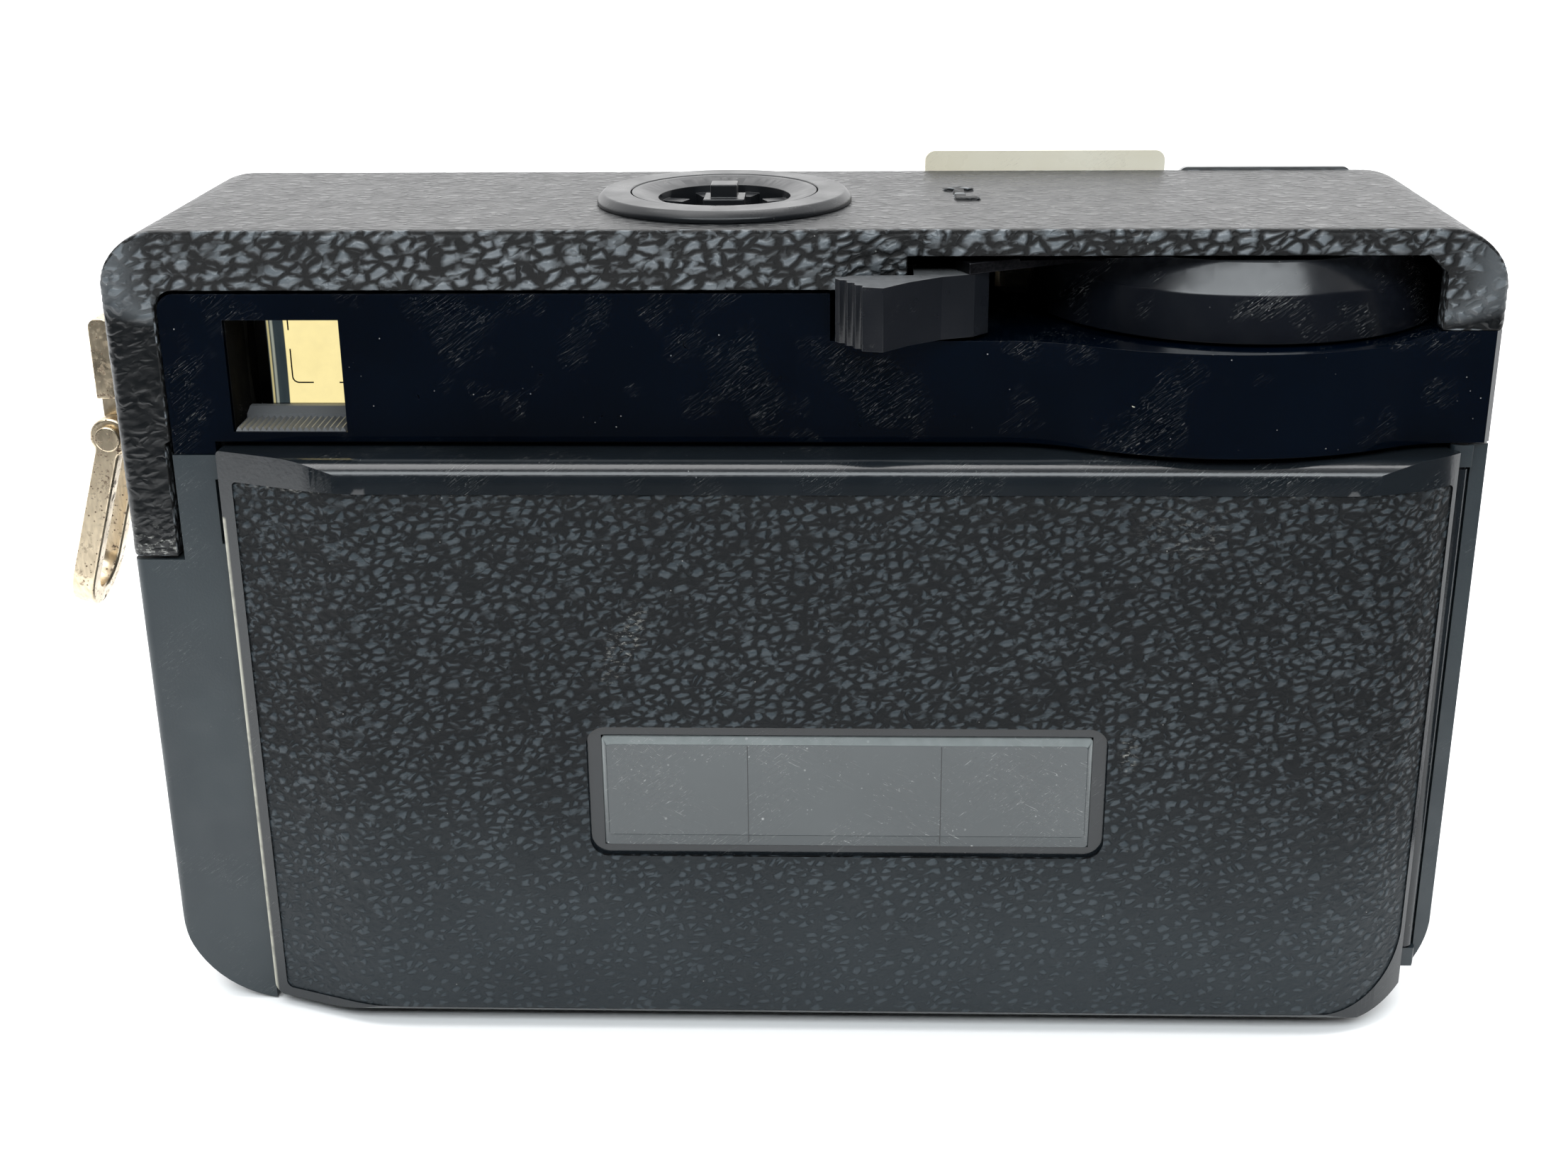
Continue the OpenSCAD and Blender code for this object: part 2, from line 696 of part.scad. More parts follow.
module rear_door() {
    color("#24282c") {
        difference() {
            intersection() {
                along_z(door_bottom_z, door_top_z) door_plan(0, door_inner_y);
                along_y(door_y - 1, door_inner_y) door_face(0);
                along_x(door_left_x, hinge_x) door_side();
            }
            // hollow inside
            intersection() {
                along_z(door_bottom_z, door_top_z) door_plan(2, door_inner_y + 1);
                block([door_left_x + 3, door_y, door_bottom_z + 2.6],
                      [hinge_x - 3.5, door_inner_y + 1, door_top_z - 2.6]);
            }
            // shallow bed for the covering
            intersection() {
                along_z(covering_z0, covering_z1) polygon(concat(
                    [[door_left_x, -30], [60, -30]],
                    reversed(door_curve(covering_t + covering_drop))));
                covering_face();
            }
            // window
            block([window_x - window_w / 2, door_y - 1, window_z - window_h / 2],
                  [window_x + window_w / 2, door_inner_y + 1, window_z + window_h / 2]);
            hinge_lugs(0.2, 0);
            pin_bores();
        }
        // hinge edge
        difference() {
            upright(hinge_x, hinge_y, hinge_nose_r, lower_lug_z + lug_h + 0.2, deck_z - lug_h - 0.2);
            pin_bores();
        }
        // tongue that the latch holds
        block([door_left_x + 0.6, door_inner_y, 44.2], [door_left_x + 2, -8.8, 48.6]);
    }
}

// Holes in the hinge edge for the two pins
module pin_bores() {
    upright(hinge_x, hinge_y, 0.5, deck_z - lug_h - 3, deck_z + 1);
    upright(hinge_x, hinge_y, 0.5, door_bottom_z - 1, lower_lug_z + lug_h + 3);
}

// Outline of the covering, seen from behind
module covering_face() {
    along_y(door_y - 2, door_inner_y)
        soft_rect(door_left_x + 1.2, hinge_x - 0.9, covering_z0, covering_z1, [0.6, 7, 0.4, 0.4]);
}

module door_covering() {
    color("#2f3336") difference() {
        intersection() {
            difference() {
                along_z(covering_z0, covering_z1) door_plan(covering_drop, door_inner_y);
                along_z(covering_z0 - 1, covering_z1 + 1) polygon(concat(
                    door_curve(covering_drop + covering_t), [[60, -5], [door_left_x, -5]]));
            }
            covering_face();
        }
        along_y(door_y - 2, door_inner_y)
            soft_rect(window_x - window_w / 2 - 1.3, window_x + window_w / 2 + 1.3,
                      window_z - window_h / 2 - 1, window_z + window_h / 2 + 1, [1, 1, 1, 1] * 1.6);
    }
}

module door_window() {
    color("#8d9498") along_y(door_y + 0.1, door_y + 1.9)
        soft_rect(window_x - window_w / 2 + 0.05, window_x + window_w / 2 - 0.05,
                  window_z - window_h / 2 + 0.05, window_z + window_h / 2 - 0.05, [1, 1, 1, 1] * 0.02);
}

module window_seal() {
    color("#111111") along_y(door_y + 2, door_y + 3.4) difference() {
        soft_rect(window_x - window_w / 2 - 3, window_x + window_w / 2 + 3,
                  window_z - window_h / 2 - 3, window_z + window_h / 2 + 3, [1, 1, 1, 1] * 2);
        soft_rect(window_x - window_w / 2, window_x + window_w / 2,
                  window_z - window_h / 2, window_z + window_h / 2, [1, 1, 1, 1] * 0.5);
    }
}

// Leaf spring that presses the cartridge forward
module cartridge_spring() {
    color("#b4b7ba") along_z(34, 40) difference() {
        union() {
            translate([-20, door_y + 2]) square([48, 0.4]);
            for (side = [-1, 1]) translate([window_x + side * 14 - 4, door_y + 2]) square([8, 1.6]);
        }
        for (side = [-1, 1]) translate([window_x + side * 14 - 3.6, door_y + 2.4]) square([7.2, 0.8]);
    }
}

module door_hinge_pins() {
    color("#c9ccce") {
        upright(hinge_x, hinge_y, 0.5, deck_z - lug_h - 3, deck_z);
        upright(hinge_x, hinge_y, 0.5, lower_lug_z, lower_lug_z + lug_h + 3);
    }
}

// ---------- latch and strap loop ----------

module door_latch() {
    color("#cfc7b4") difference() {
        union() {
            // finger tab
            along_y(loop_y0 + 0.2, loop_y1 - 0.2) soft_rect(-59.7, -57.9, 53.7, 60.6, [0, 0, 0.7, 0.8]);
            // tongue down to the loop's pin
            block([-59.9, loop_y0 + 1.8, loop_z], [-58.1, loop_y1 - 1.8, 54]);
            fore_aft(loop_x, loop_z, 1.6, loop_y0 + 1.8, loop_y1 - 1.8);
            // neck through the wall and plate inside
            block([-58, -4.2, 55.4], [-53, 0.2, 58.6]);
            block([-53, -9.4, 46.6], [-52, 1.6, 58.6]);
            block([-53, -9.4, 46.6], [-47.2, -8, 48]);
        }
        fore_aft(loop_x, loop_z, 0.7, loop_y0, loop_y1);
    }
}

module loop_pin() {
    color("#b9b2a2") {
        fore_aft(loop_x, loop_z, 0.7, loop_y0 - 0.4, loop_y1 + 0.4);
        fore_aft(loop_x, loop_z, 1.1, loop_y0 - 0.6, loop_y0 - 0.1);
        fore_aft(loop_x, loop_z, 1.1, loop_y1 + 0.1, loop_y1 + 0.6);
    }
}

module strap_loop() {
    mid_y = (loop_y0 + loop_y1) / 2;
    half = (loop_y1 - loop_y0) / 2;
    color("#d8cdb5") translate([loop_x, 0, loop_z]) rotate([0, loop_lean, 0]) difference() {
        union() {
            along_x(-1, 1) difference() {
                union() {
                    translate([loop_y0, half - loop_length]) square([2 * half, loop_length - half]);
                    translate([mid_y, half - loop_length]) circle(half);
                }
                translate([mid_y, half - loop_length]) circle(half - 1.7);
                translate([loop_y0 + 1.7, half - loop_length]) square([2 * half - 3.4, loop_length]);
            }
            for (y = [loop_y0, loop_y1 - 1.7]) fore_aft(0, 0, 1.7, y, y + 1.7);
        }
        fore_aft(0, 0, 0.75, loop_y0 - 1, loop_y1 + 1);
    }
}

module latch_spring() {
    color("#b8bbbe") translate([-52.05, 4.4, 0]) coil(0.8, 0.2, 46.6, 55.6, 7);
}

// ---------- film advance ----------

module advance_disc() {
    color("#101216") difference() {
        translate([disc_x, disc_y, 0]) rotate_extrude($fn = 96)
            polygon([[spindle_r, disc_z0], [disc_r, disc_z0], [disc_r - 0.9, 64.6], [disc_r - 2.4, disc_z1],
                     [spindle_r, disc_z1]]);
        along_z(arm_z0, disc_z1 + 1) arm_plan(0.05);
        // hollow underneath
        difference() {
            upright(disc_x, disc_y, disc_r - 2.8, disc_z0 - 1, 64.4);
            upright(disc_x, disc_y, 5, disc_z0 - 2, 65);
        }
        // the front part of the rim is cut away, so that the stroke clears the front wall
        along_z(disc_z0 - 1, disc_z1 + 1) difference() {
            translate([disc_x, disc_y]) polygon([
                for (a = [disc_right_a, 10, 50, 90, 130, disc_left_a]) 40 * [cos(a), sin(a)],
                [0, 0]]);
            translate([disc_x, disc_y]) circle(9);
        }
    }
}

// Steel arm from above, grown by g
module arm_plan(g) {
    end_x = 12;
    end_y = -11.4;
    length = norm([end_x - disc_x, end_y - disc_y]);
    translate([disc_x, disc_y]) circle(6 + g);
    translate([disc_x, disc_y]) rotate(atan2(end_y - disc_y, end_x - disc_x))
        translate([0, -3.2 - g]) square([length + g, 6.4 + 2 * g]);
}

module advance_arm() {
    color("#1c1d1f") along_z(arm_z0, arm_z1) difference() {
        arm_plan(0);
        translate([disc_x, disc_y]) circle(spindle_r);
    }
}

module advance_thumb_tip() {
    rib_r = 0.42;
    color("#17191d") along_z(tip_z0, arm_z0) difference() {
        polygon([[3, -15.5], [5.1, -18.5], [6.7, -18.9], [8.7, -16.8], [11.3, -14.9], [13.9, -13.9],
                 [15.1, -12.6], [14.8, -9.2], [9.1, -9.4], [9.1, -14.3], [4.2, -14.4]]);
        for (i = [0:2]) translate([3.5 + 0.6 * i, -16.4 - 0.9 * i]) circle(rib_r, $fn = 24);
    }
}

module advance_spindle() {
    color("#c3c6c8") {
        upright(disc_x, disc_y, spindle_r, 47.2, arm_z1);
        upright(disc_x, disc_y, 1.5, 44.8, 47.2);
    }
}

module drive_gear() {
    color("#c2a25a") translate([disc_x, disc_y, 0]) spur(drive_teeth, spindle_r, gear_z0, gear_z1);
}

module advance_return_spring() {
    color("#b8bbbe") translate([disc_x, disc_y, 0]) coil(4, 0.3, 55.6, 59.2, 4);
}

module take_up_drive() {
    ratchet_teeth = 12;
    color("#d9d4c6") translate([disc_x, disc_y, 0]) difference() {
        union() {
            along_z(bay_floor_z + 0.15, 46.8) {
                circle(5.2);
                for (i = [0:ratchet_teeth - 1])
                    rotate(360 * i / ratchet_teeth) polygon([[4.8, -1.2], [6, 0], [4.8, 0.4]]);
            }
            upright(0, 0, 3, 40.6, bay_floor_z + 0.2);
            for (i = [0:2]) rotate(120 * i) block([0, -0.7, 40.6], [4.4, 0.7, 42]);
        }
        upright(0, 0, 1.56, 44.4, 48);
    }
}

module ratchet_pawl() {
    color("#a9adb0") difference() {
        along_z(44.6, 46) {
            translate([46, 6]) circle(1.8);
            polygon([[44.6, 7], [46.6, 4.4], [43.2, 2.3], [42.8, 3]]);
        }
        upright(46, 6, 0.8, 44, 47);
    }
    color("#c9ccce") {
        upright(46, 6, 0.8, bay_floor_z + 0.05, 46.4);
    }
}

module index_rack() {
    drive_y = disc_y + drive_gear_r;
    socket_side_y = socket_y + socket_gear_r;
    color("#d9d4c6") along_z(gear_z0 + 0.1, gear_z1 - 0.1) {
        rack_teeth(disc_x, drive_y, -2, 5);
        translate([disc_x - 4.4, drive_y + 0.95]) square([17.4, 1.4]);
        rack_teeth(socket_x, socket_side_y, -2, 5);
        translate([socket_x - 4.4, socket_side_y + 0.95]) square([17.4, 1.6]);
        translate([socket_x + 10, socket_side_y + 0.95]) square([3, drive_y - socket_side_y + 1.4]);
        translate([socket_x + 10, drive_y + 0.95]) square([disc_x - socket_x - 14, 1.4]);
    }
}

module perforation_feeler() {
    color("#a9adb0") {
        along_z(39, 40.2) {
            translate([feeler_x, feeler_y]) circle(1.2);
            polygon([[feeler_x - 0.8, feeler_y], [feeler_x - 0.2, -8.8],
                     [feeler_x + 0.4, -8.8], [feeler_x + 0.8, feeler_y]]);
        }
        upright(feeler_x, feeler_y, 0.5, 37.8, 41.4);
    }
}

// ---------- flash socket ----------

module socket_ring() {
    color("#1f2226") translate([socket_x, socket_y, 0]) difference() {
        union() {
            rotate_extrude() polygon([
                [0, body_h], [collar_r, body_h], [collar_r, 69.9], [collar_r - 0.5, 70.45], [0, 70.45]]);
            upright(0, 0, 9.3, 63, body_h);
        }
        upright(0, 0, 7.8, 64, 72);
        upright(0, 0, 2, 62, 65);
        upright(0, striker_y - socket_y, 0.85, 62, 65);
    }
}

module socket_turret() {
    color("#1a1c1f") translate([socket_x, socket_y, 0]) difference() {
        union() {
            upright(0, 0, 7.7, 64.2, 70.4);
            upright(0, 0, stem_r, 51.4, 64.3);
        }
        upright(0, 0, 5.5, 66, 71);
        translate([0, 0, 69.9]) cylinder(h = 0.51, r1 = 5.5, r2 = 7.3);
        for (i = [0:3]) rotate(90 * i) upright(4.7, 0, 1.05, 63, 67);
    }
    color("#1a1c1f") translate([socket_x, socket_y, 0])
        for (i = [0:7]) rotate(45 * i + 22.5) block([3.6, -0.7, 65.9], [5.6, 0.7, 69.3]);
}

module socket_post() {
    color("#0d0f11") translate([socket_x, socket_y, 0]) {
        block([-1.7, -1.7, 66], [1.7, 1.7, 69.9]);
        block([-1.1, -1.1, 69.9], [1.1, 1.1, 71]);
    }
}

module socket_gear() {
    color("#c2a25a") translate([socket_x, socket_y, 0]) spur(socket_teeth, stem_r, gear_z0, gear_z1);
}

module flash_striker() {
    color("#c3c6c8") {
        upright(socket_x, striker_y, 0.75, 59.6, 64);
        block([socket_x - 1, striker_y - 0.8, 59.1], [socket_x + 1, 10, 60.1]);
    }
}

// ---------- release ----------

module release_bar() {
    grooves = 9;
    color("#ded6c2") {
        difference() {
            along_y(bar_y0, bar_y1) soft_rect(bar_x0, bar_x1, 49, bar_top_z, [1, 1, 1, 1] * 0.9);
            for (i = [0:grooves - 1]) translate([0, 0, 51 + 1.2 * i])
                block([bar_x0 + 1.8, bar_y1 - 0.3, 0], [bar_x1 - 1.8, bar_y1 + 1, 0.5]);
        }
        block([stem_x - 2, 7.6, 59.2], [stem_x + 2, bar_y0 + 0.1, 61.6]);
        block([stem_x, 7.6, 60.6], [stem_x + 8.5, 11.4, 61.6]);
    }
}

module trip_rod() {
    color("#b5b8ba") block([12, front_y + 1.5, 37], [14, front_y + 2.1, 49]);
}

module release_lever() {
    color("#a9adb0") difference() {
        along_y(8, 10) soft_rect(-7.3, 22, 56.8, 58.8, [0.6, 0.6, 0.2, 0.2]);
        fore_aft(lever_pivot_x, lever_pivot_z, 0.85, 7, 11);
        block([lever_pivot_x + 2, 7, 56], [23, 11, lever_pivot_z]);
    }
}

module release_pivot_pin() {
    color("#c9ccce") {
        fore_aft(lever_pivot_x, lever_pivot_z, 0.8, 7.8, cover_inner_y - 1.2);
        fore_aft(lever_pivot_x, lever_pivot_z, 1.3, 7.2, 7.8);
    }
}

module release_spring() {
    color("#b8bbbe") translate([26.4, 9.6, 0]) coil(1.5, 0.22, gear_z1 + 0.3, 60.6, 6);
}

main_body();
top_cover();
rear_panel();
front_plate();
front_covering();
mechanism_plate();
mechanism_screws();
viewfinder_tube();
eyepiece_lens();
objective_lens();
viewfinder_mask();
viewfinder_window();
lens_housing();
lens_barrel();
lens_front_element();
lens_rear_element();
lens_retaining_ring();
exposure_ring();
aperture_blade();
shutter_plate();
shutter_blade();
shutter_pivot();
shutter_spring();
rear_door();
door_covering();
door_window();
window_seal();
cartridge_spring();
door_hinge_pins();
door_latch();
loop_pin();
strap_loop();
latch_spring();
advance_disc();
advance_arm();
advance_thumb_tip();
advance_spindle();
drive_gear();
advance_return_spring();
take_up_drive();
ratchet_pawl();
index_rack();
socket_ring();
socket_turret();
socket_post();
socket_gear();
flash_striker();
release_bar();
trip_rod();
release_lever();
release_pivot_pin();
release_spring();
perforation_feeler();
case_screws();
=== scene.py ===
import math

import bpy
import numpy as np
from mathutils import Matrix, Vector


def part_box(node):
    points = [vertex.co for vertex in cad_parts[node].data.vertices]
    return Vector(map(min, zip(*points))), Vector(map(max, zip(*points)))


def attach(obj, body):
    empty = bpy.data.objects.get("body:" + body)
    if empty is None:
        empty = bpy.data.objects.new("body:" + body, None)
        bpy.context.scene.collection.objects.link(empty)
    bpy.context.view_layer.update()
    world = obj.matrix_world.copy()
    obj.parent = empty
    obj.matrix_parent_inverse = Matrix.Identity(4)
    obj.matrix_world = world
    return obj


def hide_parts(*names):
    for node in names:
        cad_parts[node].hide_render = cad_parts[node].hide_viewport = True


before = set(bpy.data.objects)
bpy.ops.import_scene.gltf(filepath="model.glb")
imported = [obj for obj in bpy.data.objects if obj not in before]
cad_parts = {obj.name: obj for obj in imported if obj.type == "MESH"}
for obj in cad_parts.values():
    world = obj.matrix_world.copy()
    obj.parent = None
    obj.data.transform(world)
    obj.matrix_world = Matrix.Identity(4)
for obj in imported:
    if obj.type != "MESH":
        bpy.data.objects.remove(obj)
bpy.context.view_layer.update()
MM = 0.001


def box_mm(node):
    lo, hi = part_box(node)
    return np.array(lo) / MM, np.array(hi) / MM


# ---------- view, light and floor ----------

def make_camera():
    """Camera behind and above the object, close to its middle."""
    yaw, pitch, roll = (math.radians(a) for a in (-1.871, 20.978, -0.478))
    ahead = Vector((math.sin(yaw) * math.cos(pitch), math.cos(yaw) * math.cos(pitch), -math.sin(pitch)))
    right = Vector((math.cos(yaw), -math.sin(yaw), 0))
    up = right.cross(ahead)
    right, up = (math.cos(roll) * right + math.sin(roll) * up,
                 -math.sin(roll) * right + math.cos(roll) * up)
    data = bpy.data.cameras.new("camera")
    data.sensor_width, data.lens = 36, 45.955
    data.clip_start, data.clip_end = 0.01, 20
    obj = bpy.data.objects.new("camera", data)
    bpy.context.scene.collection.objects.link(obj)
    obj.matrix_world = Matrix.Translation(Vector((3.86, -168.4, 99.1)) * MM) @ Matrix(
        (right, up, -ahead)).transposed().to_4x4()
    bpy.context.scene.camera = obj


def make_light(name, place, aim, size, power, color=(1, 1, 1)):
    data = bpy.data.lights.new(name, "AREA")
    data.shape, data.size, data.size_y = "RECTANGLE", size[0], size[1]
    data.energy, data.color = power, color
    obj = bpy.data.objects.new(name, data)
    bpy.context.scene.collection.objects.link(obj)
    obj.location = place
    obj.rotation_euler = (Vector(aim) - Vector(place)).to_track_quat("-Z", "Y").to_euler()


def make_world():
    """White all round, dimmer near the horizon behind the camera, where the room is dark."""
    world = bpy.data.worlds.new("studio")
    bpy.context.scene.world = world
    world.use_nodes = True
    tree = world.node_tree
    tree.nodes.clear()
    out = tree.nodes.new("ShaderNodeOutputWorld")
    coords = tree.nodes.new("ShaderNodeTexCoord")
    parts = tree.nodes.new("ShaderNodeSeparateXYZ")
    tree.links.new(coords.outputs["Generated"], parts.inputs[0])
    along = tree.nodes.new("ShaderNodeMath")
    along.operation = "MULTIPLY_ADD"
    along.inputs[1].default_value = 0.55
    tree.links.new(parts.outputs["Z"], along.inputs[0])
    tree.links.new(parts.outputs["Y"], along.inputs[2])
    level = tree.nodes.new("ShaderNodeMapRange")
    level.interpolation_type = "SMOOTHSTEP"
    for i, value in zip((1, 2, 3, 4), (-0.3, 0.75, 0.02, 2.2)):
        level.inputs[i].default_value = value
    tree.links.new(along.outputs[0], level.inputs[0])
    seen = tree.nodes.new("ShaderNodeLightPath")
    glow = tree.nodes.new("ShaderNodeBackground")
    tree.links.new(level.outputs[0], glow.inputs["Strength"])
    plain = tree.nodes.new("ShaderNodeBackground")
    plain.inputs["Color"].default_value = (1, 1, 1, 1)
    plain.inputs["Strength"].default_value = 1.0
    pick = tree.nodes.new("ShaderNodeMixShader")
    tree.links.new(seen.outputs["Is Camera Ray"], pick.inputs[0])
    tree.links.new(glow.outputs[0], pick.inputs[1])
    tree.links.new(plain.outputs[0], pick.inputs[2])
    tree.links.new(pick.outputs[0], out.inputs[0])


def make_floor():
    """Pale flat table top, 3.2 m square, under the object."""
    me = bpy.data.meshes.new("floor")
    n, reach = 48, 1.6
    points, faces = [], []
    for i in range(n + 1):
        for j in range(n + 1):
            x, y = ((2 * k / n - 1) * reach for k in (i, j))
            points.append((x, y, 0))
    for i in range(n):
        for j in range(n):
            a = i * (n + 1) + j
            faces.append((a, a + n + 1, a + n + 2, a + 1))
    me.from_pydata(points, [], faces)
    obj = bpy.data.objects.new("floor", me)
    bpy.context.scene.collection.objects.link(obj)
    obj.location.z = -0.00005
    g = Graph("floor_paper")
    tone = g.noise(0.02, 2)
    g.surface(color=g.mix(tone, (0.93, 0.93, 0.93), (0.95, 0.95, 0.95)), rough=0.75, spec=0.2)
    me.materials.append(g.mat)


def make_flag():
    """Dark card low behind the camera. Only reflections see it: it keeps the gloss panel black."""
    me = bpy.data.meshes.new("flag")
    near, far, half, z = -0.118, -1.5, 1.5, 0.0006
    wing = 0.085
    me.from_pydata([(-half, far, z), (half, far, z), (half, near, z), (-half, near, z), (wing, near, z),
                    (wing, -0.01, z), (half, -0.01, z)], [], [(0, 1, 2, 4, 3), (4, 2, 6, 5)])
    obj = bpy.data.objects.new("flag", me)
    bpy.context.scene.collection.objects.link(obj)
    g = Graph("flag_cloth")
    g.surface(color=g.mix(g.noise(0.02, 2), (0.012, 0.012, 0.014), (0.02, 0.02, 0.02)), rough=0.9, spec=0.1)
    me.materials.append(g.mat)
    obj.visible_camera = obj.visible_diffuse = obj.visible_shadow = obj.visible_transmission = False


# ---------- node materials ----------

class Graph:
    """Builds one material. Patterns are measured in millimetres of the object's own space."""

    def __init__(self, name):
        self.mat = bpy.data.materials.new(name)
        self.mat.use_nodes = True
        self.tree = self.mat.node_tree
        self.tree.nodes.clear()
        self.out = self.add("ShaderNodeOutputMaterial")
        coords = self.add("ShaderNodeTexCoord")
        self.mm = self.scaled(coords.outputs["Object"], (1 / MM,) * 3)

    def add(self, kind, inputs=None, **props):
        n = self.tree.nodes.new(kind)
        for k, v in props.items():
            setattr(n, k, v)
        for k, v in (inputs or {}).items():
            if isinstance(v, bpy.types.NodeSocket):
                self.tree.links.new(v, n.inputs[k])
            else:
                n.inputs[k].default_value = v
        return n

    def scaled(self, vector, scale):
        return self.add("ShaderNodeMapping", {"Vector": vector, "Scale": scale}).outputs[0]

    def turned(self, angles):
        turn = [math.radians(a) for a in angles]
        return self.add("ShaderNodeMapping", {"Vector": self.mm, "Rotation": turn}).outputs[0]

    def noise(self, scale, detail=3, stretch=None, space=None, rough=0.5):
        v = space or self.mm
        if stretch:
            v = self.scaled(v, stretch)
        return self.add("ShaderNodeTexNoise", {
            "Vector": v, "Scale": scale, "Detail": detail, "Roughness": rough}).outputs[0]

    def cells(self, scale, feature="F1", space=None):
        return self.add("ShaderNodeTexVoronoi", {"Vector": space or self.mm, "Scale": scale},
                        feature=feature).outputs["Distance"]

    def span(self, value, a, b, c=0.0, d=1.0, soft=False):
        """Value from a to b becomes c to d, and stays within them."""
        return self.add("ShaderNodeMapRange", {0: value, 1: a, 2: b, 3: c, 4: d},
                        interpolation_type="SMOOTHSTEP" if soft else "LINEAR").outputs[0]

    def math(self, op, a, b=0.0, c=0.0):
        return self.add("ShaderNodeMath", {0: a, 1: b, 2: c}, operation=op).outputs[0]

    def mix(self, amount, a, b):
        n = self.add("ShaderNodeMix", data_type="RGBA")
        for k, v in ((0, amount), (6, a), (7, b)):
            if isinstance(v, bpy.types.NodeSocket):
                self.tree.links.new(v, n.inputs[k])
            elif k:
                n.inputs[k].default_value = (*v[:3], 1)
            else:
                n.inputs[k].default_value = v
        return n.outputs[2]

    def field(self, name):
        """Number that the mesh stores for each point."""
        return self.add("ShaderNodeAttribute", attribute_name=name).outputs["Fac"]

    def bump(self, height, depth, under=None):
        """Height 0 to 1 becomes relief of depth millimetres."""
        n = self.add("ShaderNodeBump", {"Height": height, "Strength": 1.0, "Distance": depth * MM})
        if under:
            self.tree.links.new(under, n.inputs["Normal"])
        return n.outputs[0]

    def specks(self, scale, size, share):
        """Small dots: about one in each cell of the given scale, on a share of the surface."""
        dot = self.span(self.cells(scale), size, size * 0.55)
        patch = self.span(self.noise(scale * 0.31, 2), share, share + 0.06)
        return self.math("MULTIPLY", dot, patch)

    def hairs(self, scale, angle, width, share):
        """Fine scratches across the surface, seen along all three axes."""
        line = self.noise(scale, 1, (1, 1, 14), self.turned(angle))
        line = self.math("ABSOLUTE", self.math("SUBTRACT", line, 0.5))
        patch = self.span(self.noise(scale * 0.4, 2), share, share + 0.1)
        return self.math("MULTIPLY", self.span(line, width, width * 0.3), patch)

    def surface(self, color, rough, metal=0.0, normal=None, spec=0.5, coat=0.0, glow=None):
        n = self.add("ShaderNodeBsdfPrincipled", {
            "Metallic": metal, "Roughness": rough, "Specular IOR Level": spec,
            "Coat Weight": coat, "Coat Roughness": 0.1})
        if isinstance(color, bpy.types.NodeSocket):
            self.tree.links.new(color, n.inputs["Base Color"])
        else:
            n.inputs["Base Color"].default_value = (*color, 1)
        if normal:
            self.tree.links.new(normal, n.inputs["Normal"])
        if glow:
            self.tree.links.new(glow, n.inputs["Emission Color"])
            n.inputs["Emission Strength"].default_value = 1.0
        self.tree.links.new(n.outputs[0], self.out.inputs[0])
        return n.outputs[0]


def plastic(name, dark, light, rough, relief=0.01, grain=3.0, dust=0.5, tint=(0.3, 0.3, 0.29),
            spec=0.5, scratch=0.3, up_dust_and_sheen=0.0, worn_edge=None):
    """Moulded plastic: clouds, fine texture, dust and hair scratches. film is a pale patchy layer on faces
    that
    look up: partly dust, partly a painted sheen where they catch light. worn_edge is the outer and inner X
    and the top Z of a pale worn edge."""
    g = Graph(name)
    cloud = g.noise(0.09, 4)
    color = g.mix(g.span(cloud, 0.3, 0.7), dark, light)
    marks = g.specks(1.1, 0.07, 0.62 - 0.1 * dust)
    color = g.mix(g.math("MULTIPLY", marks, dust), color, tint)
    lines = g.math("MULTIPLY", g.hairs(0.5, (20, 35, 50), 0.006, 0.52), scratch)
    color = g.mix(lines, color, tint)
    r = g.span(g.noise(0.35, 3), 0.3, 0.7, rough * 0.85, rough * 1.2)
    r = g.math("ADD", r, g.math("MULTIPLY", marks, 0.3))
    # Partly dust, partly painted sheen: faces that look up are lightened towards pale grey, as if catching
    # light.
    if up_dust_and_sheen:
        normal = g.add("ShaderNodeNewGeometry").outputs["Normal"]
        up = g.add("ShaderNodeSeparateXYZ", {0: normal}).outputs["Z"]
        patchy = g.span(g.noise(1.3, 4), 0.2, 0.7, 0.6 * up_dust_and_sheen, up_dust_and_sheen)
        dust_and_sheen_here = g.math("MULTIPLY", g.span(up, 0.5, 0.95), patchy)
        color = g.mix(dust_and_sheen_here, color, (0.13, 0.135, 0.14))
    if worn_edge:
        outer, inner, top = worn_edge
        parts = g.add("ShaderNodeSeparateXYZ", {0: g.mm}).outputs
        edge = g.math("MULTIPLY", g.span(parts["X"], inner, outer), g.span(parts["Z"], top, top - 0.3))
        edge = g.math("MULTIPLY", edge, g.span(g.noise(0.9, 4), 0.3, 0.55, 0.55, 1.0))
        color = g.mix(edge, color, (0.36, 0.35, 0.29))
    height = g.math("ADD", g.noise(grain, 3), g.math("MULTIPLY", lines, -0.4))
    g.surface(color, r, normal=g.bump(height, relief), spec=spec)
    return g.mat


def metal(name, dark, light, rough, stretch=(1, 1, 1), grain=6.0, relief=0.004, stain=None):
    """Metal with a grain along the axis of the smallest stretch, and stains where asked."""
    g = Graph(name)
    streak = g.noise(grain, 3, stretch)
    color = g.mix(g.span(streak, 0.3, 0.7), dark, light)
    r = g.span(g.noise(0.4, 3), 0.3, 0.7, rough * 0.8, rough * 1.3)
    shine = 1.0
    if stain:
        spot = g.math("MULTIPLY", g.span(g.noise(1.6, 5, rough=0.7), 0.56, 0.63),
                      g.span(g.noise(0.22, 2), 0.42, 0.6))
        dots = g.specks(2.2, 0.22, 0.42)
        spot = g.math("MAXIMUM", spot, dots)
        color = g.mix(spot, color, stain)
        r = g.math("ADD", r, g.math("MULTIPLY", spot, 0.4))
        shine = g.span(spot, 0.0, 1.0, 1.0, 0.15)
    g.surface(color, r, metal=shine, normal=g.bump(streak, relief))
    return g.mat


